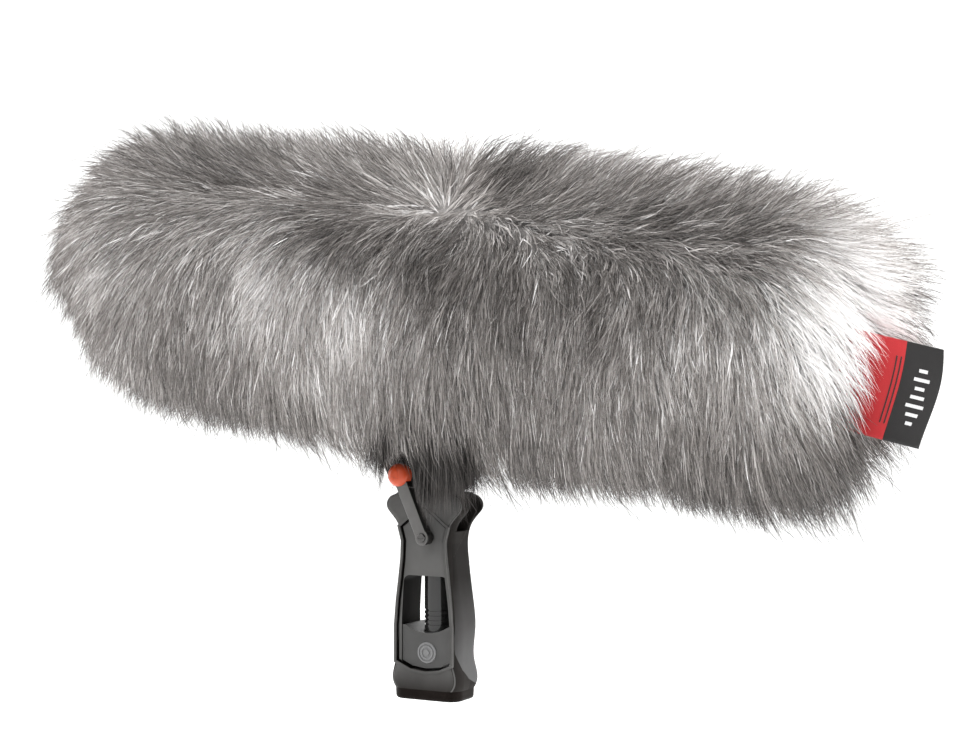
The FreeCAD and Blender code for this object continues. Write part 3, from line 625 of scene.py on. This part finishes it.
def shade_colours():
    """Shades from dark brown-grey to a nearly neutral white, in even ratios."""
    levels = DARKEST * (LIGHTEST / DARKEST) ** (np.arange(SHADES) / (SHADES - 1))
    warmth = np.clip(1 - levels / 0.8, 0, 1)
    return [(level, level * (0.985 - 0.09 * warm), level * (0.98 - 0.15 * warm))
            for level, warm in zip(levels, warmth)]


def hair_materials():
    made = []
    for number, colour in enumerate(shade_colours()):
        mat, _, shader = new_material(f"hair_shade_{number:02d}", 0.5, 0.3)
        shader.inputs["Base Color"].default_value = (*colour, 1.0)
        made.append(mat)
    return made


def shade_of(level):
    """Number of the shade nearest to a brightness."""
    risen = np.log(np.clip(level, DARKEST, LIGHTEST) / DARKEST)
    exact = risen / math.log(LIGHTEST / DARKEST) * (SHADES - 1)
    return np.clip(np.round(exact), 0, SHADES - 1).astype(np.int32)


# ---- pile: strands --------------------------------------------------------------
OPENING_HALF_LENGTH = 66 * MM
OPENING_HALF_WIDTH = 25 * MM
SWING_RADIUS = 33 * MM              # the space about the tilt pivot that stays free of hair
SWING_HALF = 27 * MM
# How far out the hair ends stand before they are drawn in, and the share of the rest that is left.
COVER_REACH = 92 * MM
COVER_SAG = 5 * MM
COVER_GIVE = 0.5
SIDE_REACH = 93 * MM
END_REACH = (-265 * MM, 281 * MM)
END_GIVE = 0.4


def clear_of_opening(points):
    """True for points that aren't over the opening for the grip."""
    inside = (np.abs(points[:, 0]) < OPENING_HALF_LENGTH) & (np.abs(points[:, 1]) < OPENING_HALF_WIDTH)
    return ~(inside & (points[:, 2] < 0))


def clear_of_swing(points):
    """Pushes points out of the space that the grip's head and the lever sweep."""
    pivot = to_basket(joint_place("tilt"))
    flat = points[..., [0, 2]] - pivot[[0, 2]]
    distance = np.linalg.norm(flat, axis=-1)
    near = (np.abs(points[..., 1]) < SWING_HALF) & (distance < SWING_RADIUS)
    push = np.where(near, SWING_RADIUS / np.maximum(distance, 1 * MM), 1.0)
    moved = points.copy()
    moved[..., 0] = pivot[0] + flat[..., 0] * push
    moved[..., 2] = pivot[2] + flat[..., 1] * push
    return moved


def held_within(value, low, high, give):
    """Lets only a share of what lies past the limits through."""
    over = np.clip(value - high, 0, None) + np.clip(value - low, None, 0)
    return value - over * (1 - give)


def settle(points):
    """Draws in hair ends that stand far out from the cover."""
    sag = np.array([0.0, COVER_SAG])
    flat = points[..., 1:] + sag
    reach = np.linalg.norm(flat, axis=-1)
    held = held_within(reach, 0, COVER_REACH, COVER_GIVE)
    settled = points.copy()
    settled[..., 1:] = flat * (held / np.maximum(reach, 1 * MM))[..., None] - sag
    settled[..., 1] = held_within(settled[..., 1], -SIDE_REACH, SIDE_REACH, END_GIVE)
    settled[..., 0] = held_within(settled[..., 0], *END_REACH, END_GIVE)
    return settled


def length_share(roots):
    """Longer pile on the fringe over the grip, at the rear and over the top; shorter low at the ends."""
    along = roots[:, 0] / MM
    degrees = np.degrees(around(roots))

    def spot(share, place, spread, turn, wide):
        return share * np.exp(-((along - place) / spread)**2 - ((degrees - turn) / wide)**2)

    fringe = spot(1.2, 15, 130, -58, 22)
    rear_low = (0.3 * smooth(150, 235, along) - 0.75 * smooth(240, 270, along)) * smooth(-15, -50, degrees)
    top = spot(0.4, 60, 110, 92, 30)
    notch = spot(-0.4, 205, 26, 88, 26)
    rear_top = 0.35 * smooth(226, 246, along) * smooth(40, 75, degrees) * smooth(150, 110, degrees)
    tail_low = -0.7 * smooth(-170, -225, along) * smooth(5, -30, degrees)
    return 1 + fringe + rear_low + top + notch + rear_top + tail_low + 0.2 * smooth(170, 260, along)


def nearest_guides(roots, guides):
    """Number of the guide hair nearest to each root."""
    tree = kdtree.KDTree(len(guides))
    for number, place in enumerate(guides):
        tree.insert(place, number)
    tree.balance()
    return np.array([tree.find(place)[1] for place in roots])


TAPER_START = 0.35                  # a strand widens up to this share of its length, then thins
ROOT_WIDTH = 0.75
TIP_LOSS = 0.94
CURL = 1.4                          # power with which frizz and thinning grow along a strand


def ribbons(paths, widths, rolls):
    """Flat tapered strips along the paths: vertices and quads."""
    count, rows, _ = paths.shape
    along = unit(np.gradient(paths, axis=1))
    normal = ROOTS.normal(paths)
    flat = unit(np.cross(along, normal))
    turned = flat * np.cos(rolls)[:, None, None] + np.cross(along, flat) * np.sin(rolls)[:, None, None]
    t = np.linspace(0, 1, rows)
    swelling = ROOT_WIDTH + (1 - ROOT_WIDTH) * t / TAPER_START
    thinning = 1 - TIP_LOSS * (np.clip(t - TAPER_START, 0, 1) / (1 - TAPER_START)) ** CURL
    taper = np.where(t < TAPER_START, swelling, thinning)
    half = turned * (widths[:, None] * taper / 2)[..., None]
    verts = np.stack([paths - half, paths + half], axis=2).reshape(-1, 3)
    first = (np.arange(count)[:, None] * rows + np.arange(rows - 1)) * 2
    faces = np.stack([first, first + 1, first + 3, first + 2], axis=-1).reshape(-1, 4)
    return verts, faces


# The label, whose place the hair leaves free. Heights are in the basket's frame.
LABEL_ROOT = 214 * MM
LABEL_TIP = 299 * MM
LABEL_TOP = 4 * MM
LABEL_LOW = -46 * MM
LABEL_SIDE = -20 * MM
LABEL_LEAN = math.tan(math.radians(8))
LABEL_SEAM = 271 * MM               # the hair covers the label up to here
LABEL_MARGIN = 2 * MM
SEAM_SLANT = 0.28                   # how fast that edge moves for hair nearer to the camera


def clear_of_label(paths):
    """True for hairs that don't cross in front of the label."""
    rise = paths[..., 2]
    beside = (rise > LABEL_LOW - LABEL_MARGIN) & (rise < LABEL_TOP + LABEL_MARGIN)
    beside &= paths[..., 1] < LABEL_SIDE + LABEL_MARGIN
    brushed = paths[..., 0] - SEAM_SLANT * (LABEL_SIDE - paths[..., 1])
    past_seam = brushed > LABEL_SEAM + (rise - LABEL_LOW) * LABEL_LEAN
    return ~(beside & past_seam).any(axis=1)


# Spreads between tufts and between hairs. "Dark" is for the hairs with dark ends, "pale" for the others.
TUFT_LENGTHS = (0.75, 1.2)
TUFT_LIFTS = (0.7, 1.25)
DARK_REACH = (0.7, 1.12)
PALE_REACH = (0.5, 0.9)
DARK_DEPTH = (0.9, 2.1)
PALE_DEPTH = (0.1, 0.5)
WIDTHS = (0.7, 1.2)
ROLLS = (-1.5, 1.5)
FRIZZ = 2.8 * MM
KINK = 0.5 * MM
TUFT_TONES = 0.13
HAIR_TONES = 0.13
MOTTLE = 0.15                       # along one hair


def strands(count, guide_count, steps, length, width, lift, hold, tone_base, dark_share, stray):
    """One coat of hair, gathered into tufts round guide hairs; a share of the hairs has dark ends."""
    guide_roots = ROOTS.scatter(guide_count)
    spread = rng.normal(size=(guide_count, 3)) * stray
    lengths = length * rng.uniform(*TUFT_LENGTHS, guide_count) * length_share(guide_roots)
    lifts = math.radians(lift) * rng.uniform(*TUFT_LIFTS, guide_count)
    guides = grow(guide_roots, steps, lengths, lifts, spread)
    roots = ROOTS.scatter(count)
    roots = roots[clear_of_opening(roots)]
    hairs = len(roots)
    owner = nearest_guides(roots, guide_roots)
    offset = roots - guide_roots[owner]
    t = np.linspace(0, 1, steps + 1)
    gather = 1 - rng.uniform(hold * 0.4, hold, hairs)[:, None] * t**1.2
    dark_ended = rng.random(hairs) < dark_share
    reach = np.where(dark_ended, rng.uniform(*DARK_REACH, hairs), rng.uniform(*PALE_REACH, hairs))
    guide = guides[owner]
    trail = guide[:, :1] + (guide - guide[:, :1]) * reach[:, None, None]
    frizz = rng.normal(size=(hairs, 1, 3)) * FRIZZ + rng.normal(size=(hairs, steps + 1, 3)) * KINK
    paths = trail + offset[:, None] * gather[..., None] + frizz * (t**CURL)[None, :, None]
    paths = clear_of_swing(settle(paths))
    tuft_tone = rng.normal(size=guide_count)[owner] * TUFT_TONES
    shift = tone_shift(roots)
    tone = tone_base + shift + tuft_tone + rng.normal(size=hairs) * HAIR_TONES
    middle = (t[:-1] + t[1:]) / 2
    dark = np.where(dark_ended, rng.uniform(*DARK_DEPTH, hairs), rng.uniform(*PALE_DEPTH, hairs))
    dark = dark * np.clip(1 - 0.45 * shift, 0.1, 1.25)
    mottled = tone[:, None] + rng.normal(size=(hairs, steps)) * MOTTLE
    level = BASE_LEVEL * np.exp(mottled - dark[:, None] * smooth(0.15, 0.7, middle)[None])
    widths = width * rng.uniform(*WIDTHS, hairs)
    rolls = rng.uniform(*ROLLS, hairs)
    kept = clear_of_label(paths)
    verts, faces = ribbons(paths[kept], widths[kept], rolls[kept])
    return verts, faces, shade_of(level[kept]).ravel()


# The skirt: angles are in degrees, and lengths are in mm, with more in the middle and in its tufts.
SKIRT_SPAN = (-8 * MM, 56 * MM)
SKIRT_ANGLES = (-66, -46)
SKIRT_MIDDLE = 20 * MM
SKIRT_HALF = 38 * MM
SKIRT_LENGTH = 29
SKIRT_MIDDLE_EXTRA = 30
SKIRT_TUFT_EXTRA = 12
SKIRT_LENGTHS = (0.6, 1.0)
SKIRT_DARK = (1.0, 2.4)
SKIRT_DEEP = 27.5 * MM              # least distance to the near side of the basket's axis
SKIRT_LOOSE = 9 * MM
SKIRT_FRIZZ = 1.5 * MM
SKIRT_WIDTH = 0.5 * MM
SKIRT_ROWS = 7
SKIRT_HAIRS = 6500
ARM_GAP = 5.2 * MM                  # kept free on each side of the lever, and more by its knob
KNOB_EXTRA = 4.2 * MM


def clear_of_lever(paths):
    """True for hairs that don't hang in front of the clamp lever and its knob, as the picture sees them."""
    placed = to_part(paths)
    foot = joint_place("clamp_swing")
    knob_low, knob_high = (np.array(corner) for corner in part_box("lever_knob"))
    knob = (knob_low + knob_high) / 2
    span = knob[[0, 2]] - foot[[0, 2]]
    aside = (knob[1] - placed[..., 1]) * math.tan(CAMERA_TURN)
    away = placed[..., [0, 2]] - foot[[0, 2]]
    away[..., 0] -= aside
    share = np.clip(away @ span / (span @ span), 0, 1)
    gap = np.linalg.norm(away - share[..., None] * span, axis=-1)
    width = ARM_GAP + KNOB_EXTRA * smooth(0.7, 0.85, share)
    return ~((gap < width) & (placed[..., 2] < knob_high[2])).any(axis=1)


def skirt():
    """Long dark hair that hangs from the near edge of the cover's opening, in front of the grip's head."""
    along = rng.uniform(*SKIRT_SPAN, SKIRT_HAIRS)
    angle = np.radians(rng.uniform(*SKIRT_ANGLES, SKIRT_HAIRS))
    roots = ROOTS.point(along, angle)
    middle = np.clip(1 - np.abs((along - SKIRT_MIDDLE) / SKIRT_HALF) ** 2, 0, 1)
    tuft = 0.5 + 0.5 * np.sin(along * 260 + 1.3 * np.sin(along * 610))
    length = (SKIRT_LENGTH + SKIRT_MIDDLE_EXTRA * middle + SKIRT_TUFT_EXTRA * tuft) * MM
    length = length * rng.uniform(*SKIRT_LENGTHS, SKIRT_HAIRS)
    t = np.linspace(0, 1, SKIRT_ROWS + 1)
    drift = rng.normal(size=SKIRT_HAIRS) * 0.07 + 0.1 * np.sin(along * 180)
    in_front = -SKIRT_DEEP - rng.uniform(0, SKIRT_LOOSE, SKIRT_HAIRS)
    fall = np.stack([DOWN[0] + drift, np.zeros(SKIRT_HAIRS), np.full(SKIRT_HAIRS, DOWN[2])], axis=-1)
    paths = roots[:, None] + fall[:, None] * (length[:, None] * t)[..., None]
    ease = smooth(0, 0.75, t)
    paths[..., 1] = roots[:, None, 1] * (1 - ease) + np.maximum(in_front, roots[:, 1])[:, None] * ease
    paths += rng.normal(size=(SKIRT_HAIRS, 1, 3)) * SKIRT_FRIZZ * (t**CURL)[None, :, None]
    paths[..., 1] = np.minimum(paths[..., 1], -SKIRT_DEEP)
    paths = paths[clear_of_lever(paths)]
    hairs = len(paths)
    verts, faces = ribbons(paths, SKIRT_WIDTH * rng.uniform(*WIDTHS, hairs), rng.uniform(*ROLLS, hairs))
    level = BASE_LEVEL * np.exp(rng.normal(size=hairs) * 0.4 - 1.1)[:, None]
    between = (t[:-1] + t[1:]) / 2
    dark = rng.uniform(*SKIRT_DARK, hairs)[:, None] * smooth(0.0, 0.6, between)[None]
    return verts, faces, shade_of(level * np.exp(-dark)).ravel()


QUADS_PER_PIECE = 98000
# name, hairs, guides, segments, length mm, width mm, then strands()'s lift (degrees) to stray
COATS = [
    ("under", 26000, 5000, 4, 26, 0.95, 32, 0.35, 0.1, 0.1, 0.12),
    ("outer", 102000, 9000, 4, 31, 0.48, 34, 0.5, 0.0, 0.55, 0.17),
    ("guard", 18000, 7000, 4, 43, 0.32, 40, 0.5, -0.5, 1.0, 0.28),
]


def pile_piece(name, verts, faces, materials, slots):
    piece = mesh_piece(name, to_part(verts), faces, materials, slots)
    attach(piece, "windshield")


def pile_pieces():
    """The three coats, each in pieces small enough to export, and the skirt."""
    share = 1.0
    materials = hair_materials()
    for name, hairs, guides, steps, length, width, *rest in COATS:
        verts, faces, slots = strands(int(hairs * share), guides, steps, length * MM, width * MM, *rest)
        rows = steps * (QUADS_PER_PIECE // steps)
        for part, start in enumerate(range(0, len(faces), rows)):
            chosen = faces[start:start + rows]
            first = chosen.min()
            last = chosen.max() + 1
            pile_piece(f"pile_{name}_{part + 1}", verts[first:last], chosen - first, materials,
                       slots[start:start + rows])
    verts, faces, slots = skirt()
    pile_piece("pile_skirt", verts, faces, materials, slots)


# ---- undercoat ------------------------------------------------------------------
UNDERCOAT = Pod(67 * MM, (-240 * MM, 250 * MM), (61 * MM, 35 * MM), 4 * MM)
UNDERCOAT_ROUNDS = 160
UNDERCOAT_SWELL = 1.2 * MM
UNDERCOAT_TIP = 0.05 * MM           # the end rings stop this far short of the tips
UNDERCOAT_TONES = [(0.32, (0.13, 0.122, 0.117)), (0.5, (0.24, 0.228, 0.22)), (0.7, (0.4, 0.385, 0.378))]


def undercoat_material():
    """Woolly grey with streaks, seen between the hairs."""
    mat, tree, shader = new_material("undercoat_wool", 0.9, 0.1)
    shader.inputs["Sheen Weight"].default_value = 0.3
    streaks = noise(tree, 260.0, 6.0, 0.7, (1.0, 1.0, 0.22))
    broad = noise(tree, 22.0, 3.0)
    both = arithmetic(tree, "ADD", arithmetic(tree, "MULTIPLY", streaks, 0.7),
                      arithmetic(tree, "MULTIPLY", broad, 0.3))
    tree.links.new(ramp(tree, both, UNDERCOAT_TONES), shader.inputs["Base Color"])
    add_bump(tree, shader, streaks, 0.8, 1.5 * MM)
    return mat


def undercoat():
    """Solid form under the hairs, open where the grip comes in; it stands for the CAD cover."""
    stations = UNDERCOAT.stations(24)
    stations[0] += UNDERCOAT_TIP
    stations[-1] -= UNDERCOAT_TIP
    turn = np.linspace(0, 2 * math.pi, UNDERCOAT_ROUNDS, endpoint=False)
    along, angle = np.meshgrid(stations, turn, indexing="ij")
    place = UNDERCOAT.point(along, angle)
    swell = UNDERCOAT_SWELL * (np.sin(along * 210 + angle * 9) * np.sin(angle * 13 - along * 120))
    place = place + UNDERCOAT.normal(place) * swell[..., None]
    faces = ring_quads(len(stations), UNDERCOAT_ROUNDS)
    verts = place.reshape(-1, 3)
    middle = verts[faces].mean(axis=1)
    faces = faces[clear_of_opening(middle)]
    used = np.unique(faces)
    renumber = np.zeros(len(verts), dtype=np.int64)
    renumber[used] = np.arange(len(used))
    piece = mesh_piece("undercoat", to_part(verts[used]), renumber[faces], [undercoat_material()])
    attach(piece, "windshield")
    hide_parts("fur_cover")


# ---- label ----------------------------------------------------------------------
LABEL_SHIFT = -3.4 * MM
LABEL_DROOP = 9 * MM                # of its root, above the level of its fold
LABEL_BULGE = 3.0 * MM
LABEL_BOW = 2.2 * MM
LABEL_HALF = 0.7 * MM               # of its thickness, which closes up over the last part before the fold
FOLD_SHARPNESS = 26
BLACK_WIDTH = 17 * MM
THREAD_RAISED = 0.22 * MM
LABEL_COLOURS = {"label_red": (0.54, 0.026, 0.031), "label_black": (0.019, 0.018, 0.018)}
BAR_HALVES = (1.6, 2.9, 4.2, 3.2, 2.2, 3.6, 2.0)
BAR_FIRST = 0.2
BAR_PITCH = 0.088
BAR_HEIGHT = 0.034
LINES_FROM_BLACK = (3.2 * MM, 5.4 * MM)
LINE_WIDTH = 0.7 * MM
LINE_SPAN = (0.16, 0.84)


def label_place(u, v, side):
    """Point on the ribbon: u from root to fold, v from bottom to top, both 0 to 1."""
    height = LABEL_LOW + (LABEL_TOP - LABEL_LOW) * v
    bulge = LABEL_BULGE * np.sin(math.pi * v**1.5) * u**3
    lean = (height - LABEL_LOW) * LABEL_LEAN
    along = LABEL_ROOT + (LABEL_TIP - LABEL_ROOT) * u + lean + LABEL_SHIFT + bulge
    height = height + LABEL_DROOP * (1 - u)
    bow = LABEL_BOW * np.sin(3.6 * v + 1.6 * u) * u
    half = LABEL_HALF * np.sqrt(np.clip((1 - u) * FOLD_SHARPNESS, 0.02, 1))
    return np.stack([along, LABEL_SIDE + bow + side * half, height], axis=-1)


def label():
    """The sewn ribbon, folded double: red at its root and black at its fold."""
    across = np.concatenate([np.linspace(0, 0.96, 34), [0.975, 0.987, 0.996, 1.0]])
    u, v = np.meshgrid(across, np.linspace(0, 1, 30), indexing="ij")
    verts, faces = slab(label_place(u, v, -1.0), label_place(u, v, 1.0))
    length = LABEL_TIP - LABEL_ROOT
    split = 1 - BLACK_WIDTH / length
    middle = np.concatenate([u.ravel(), u.ravel()])[faces].mean(axis=1)
    piece = mesh_piece("label_ribbon", to_part(verts), faces,
                       [label_cloth(name, colour) for name, colour in LABEL_COLOURS.items()],
                       (middle > split).astype(np.int32))
    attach(piece, "windshield")
    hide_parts("label_tab")
    label_mark(split, length)


def patch_on_label(name, u_span, v_span, material):
    """Flat embroidered block lying on the near face of the ribbon."""
    u, v = np.meshgrid(np.linspace(*u_span, 4), np.linspace(*v_span, 6), indexing="ij")
    top = label_place(u, v, -1.0) - np.array([0, THREAD_RAISED, 0])
    verts, faces = slab(top, label_place(u, v, -0.6))
    piece = mesh_piece(name, to_part(verts), faces, [material], smooth_faces=False)
    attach(piece, "windshield")


def label_mark(split, length):
    """A plain row of level bars and two thin woven lines, in place of any name."""
    white = fabric("label_thread", (0.8, 0.8, 0.8), 0.3 * MM, 0.6)
    dark = fabric("label_dark_thread", (0.05, 0.02, 0.02), 0.3 * MM, 0.6)
    centre = (split + 1) / 2
    for number, half in enumerate(BAR_HALVES):
        low = BAR_FIRST + BAR_PITCH * number
        reach = half * MM / length
        patch_on_label(f"label_bar_{number + 1}", (centre - reach, centre + reach),
                       (low, low + BAR_HEIGHT), white)
    for number, back in enumerate(LINES_FROM_BLACK):
        u = split - back / length
        patch_on_label(f"label_line_{number + 1}", (u, u + LINE_WIDTH / length), LINE_SPAN, dark)


# ---- internal lead --------------------------------------------------------------
# The lead's route, x and z in mm from the grip's foot. The part above the pivot is given as it would be with
# the basket level, its middle at LEVEL_CENTRE.
LEAD_START = [(2.4, 81.4), (2.4, 83.5), (1.6, 86.5)]
LEAD_ROUTE = [(-5.5, 95.6), (-11.0, 104.0), (-11.0, 121.0), (7.0, 150.8), (22.0, 175.6),
              (30.0, 180.5), (68.0, 180.5), (76.0, 184.0), (84.0, 187.5), (90.5, 187.5)]
LEAD_RADIUS = 2.25 * MM
LEVEL_CENTRE = (-20.0, 230.0)


def tilted(x, z):
    """A route point of the level basket, at the rest tilt."""
    return tuple(to_part([(x - LEVEL_CENTRE[0]) * MM, 0.0, (z - LEVEL_CENTRE[1]) * MM]))


def lead():
    """The internal lead, a round cord swept along its route."""
    curve = bpy.data.curves.new("lead_route", "CURVE")
    curve.dimensions = "3D"
    spline = curve.splines.new("NURBS")
    places = [(x * MM, 0.0, z * MM) for x, z in LEAD_START] + [tilted(x, z) for x, z in LEAD_ROUTE]
    spline.points.add(len(places) - 1)
    for point, place in zip(spline.points, places):
        point.co = (*place, 1.0)
    spline.order_u = 3
    spline.use_endpoint_u = True
    spline.resolution_u = 8
    curve.bevel_depth = LEAD_RADIUS
    curve.bevel_resolution = 4
    curve.use_fill_caps = True
    holder = put_in_scene("lead_curve", curve)
    bpy.context.view_layer.update()
    data = bpy.data.meshes.new_from_object(holder)
    bpy.data.objects.remove(holder)
    piece = put_in_scene("internal_lead", data)
    data.materials.clear()
    data.materials.append(moulded("lead_rubber", (0.02, 0.02, 0.021), 0.6, 1500.0))
    data.polygons.foreach_set("use_smooth", np.full(len(data.polygons), True))
    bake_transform(piece)
    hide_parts("mic_lead")


# ---- stage, lights and camera ---------------------------------------------------
CAMERA_DISTANCE = 1.057
CAMERA_HEIGHT = 0.184
CAMERA_ASIDE = 0.030
LENS = 68.3
SENSOR = 36.0
RIGHT = np.array([math.cos(CAMERA_TURN), math.sin(CAMERA_TURN), 0.0])
BACK = np.array([math.sin(CAMERA_TURN), -math.cos(CAMERA_TURN), 0.0])
UP = np.array([0.0, 0.0, 1.0])
# name, distances from the basket's middle towards the camera, to its right and up, size, watts
SOFT_BOXES = [
    ("key", (0.9, -0.7, 1.1), (0.9, 0.9), 13.0),
    ("top_back", (-0.8, 0.0, 1.3), (1.4, 0.7), 32.0),
    ("left_rim", (-0.3, -1.2, 0.2), (0.6, 1.0), 11.0),
    ("right_rim", (-0.1, 1.3, 0.3), (0.6, 1.0), 34.0),
]


def aim(thing, place, target):
    thing.location = place
    thing.rotation_euler = (Vector(target) - Vector(place)).to_track_quat("-Z", "Y").to_euler()


def camera():
    data = bpy.data.cameras.new("camera")
    data.lens = LENS
    data.sensor_width = SENSOR
    data.clip_end = 50.0
    thing = put_in_scene("camera", data)
    target = RIGHT * CAMERA_ASIDE + UP * CAMERA_HEIGHT
    aim(thing, tuple(target + BACK * CAMERA_DISTANCE), tuple(target))
    bpy.context.scene.camera = thing


def lights():
    """An even white world and four soft boxes round the basket."""
    world = bpy.data.worlds.new("studio")
    world.use_nodes = True
    world.node_tree.nodes["Background"].inputs["Color"].default_value = (1.0, 1.0, 1.0, 1.0)
    world.node_tree.nodes["Background"].inputs["Strength"].default_value = 1.0
    bpy.context.scene.world = world
    for name, (near, right, up), size, power in SOFT_BOXES:
        data = bpy.data.lights.new(name, "AREA")
        data.shape = "RECTANGLE"
        data.size, data.size_y = size
        data.energy = power
        place = CENTRE + BACK * near + RIGHT * right + UP * up
        aim(put_in_scene(name, data), tuple(place), tuple(CENTRE))


FLOOR_DROP = 0.35
FLOOR_ROUNDS = 96
FLOOR_PROFILE = [(0.0, 0.0), (4.0, 0.0), (6.0, 0.0), (7.2, 0.3), (8.2, 1.2), (9.0, 2.8), (9.0, 6.0)]


def stage():
    """Pale floor well below the grip, curving up into a far wall all round."""
    turn = np.linspace(0, 2 * math.pi, FLOOR_ROUNDS, endpoint=False)
    verts = np.array([[r * math.cos(a), r * math.sin(a), h - FLOOR_DROP]
                      for r, h in FLOOR_PROFILE for a in turn])
    mat, _, shader = new_material("pale_floor", 0.95, 0.1)
    shader.inputs["Base Color"].default_value = (0.93, 0.93, 0.93, 1.0)
    shader.inputs["Emission Color"].default_value = (1.0, 1.0, 1.0, 1.0)
    shader.inputs["Emission Strength"].default_value = 0.3
    floor = mesh_piece("pale_floor", verts, ring_quads(len(FLOOR_PROFILE), FLOOR_ROUNDS), [mat])


def colour_handling():
    scene = bpy.context.scene
    scene.view_settings.view_transform = "Standard"
    scene.view_settings.look = "None"
    scene.view_settings.exposure = 0.0


finish_cad_nodes()
undercoat()
pile_pieces()
label()
lead()
stage()
lights()
camera()
colour_handling()
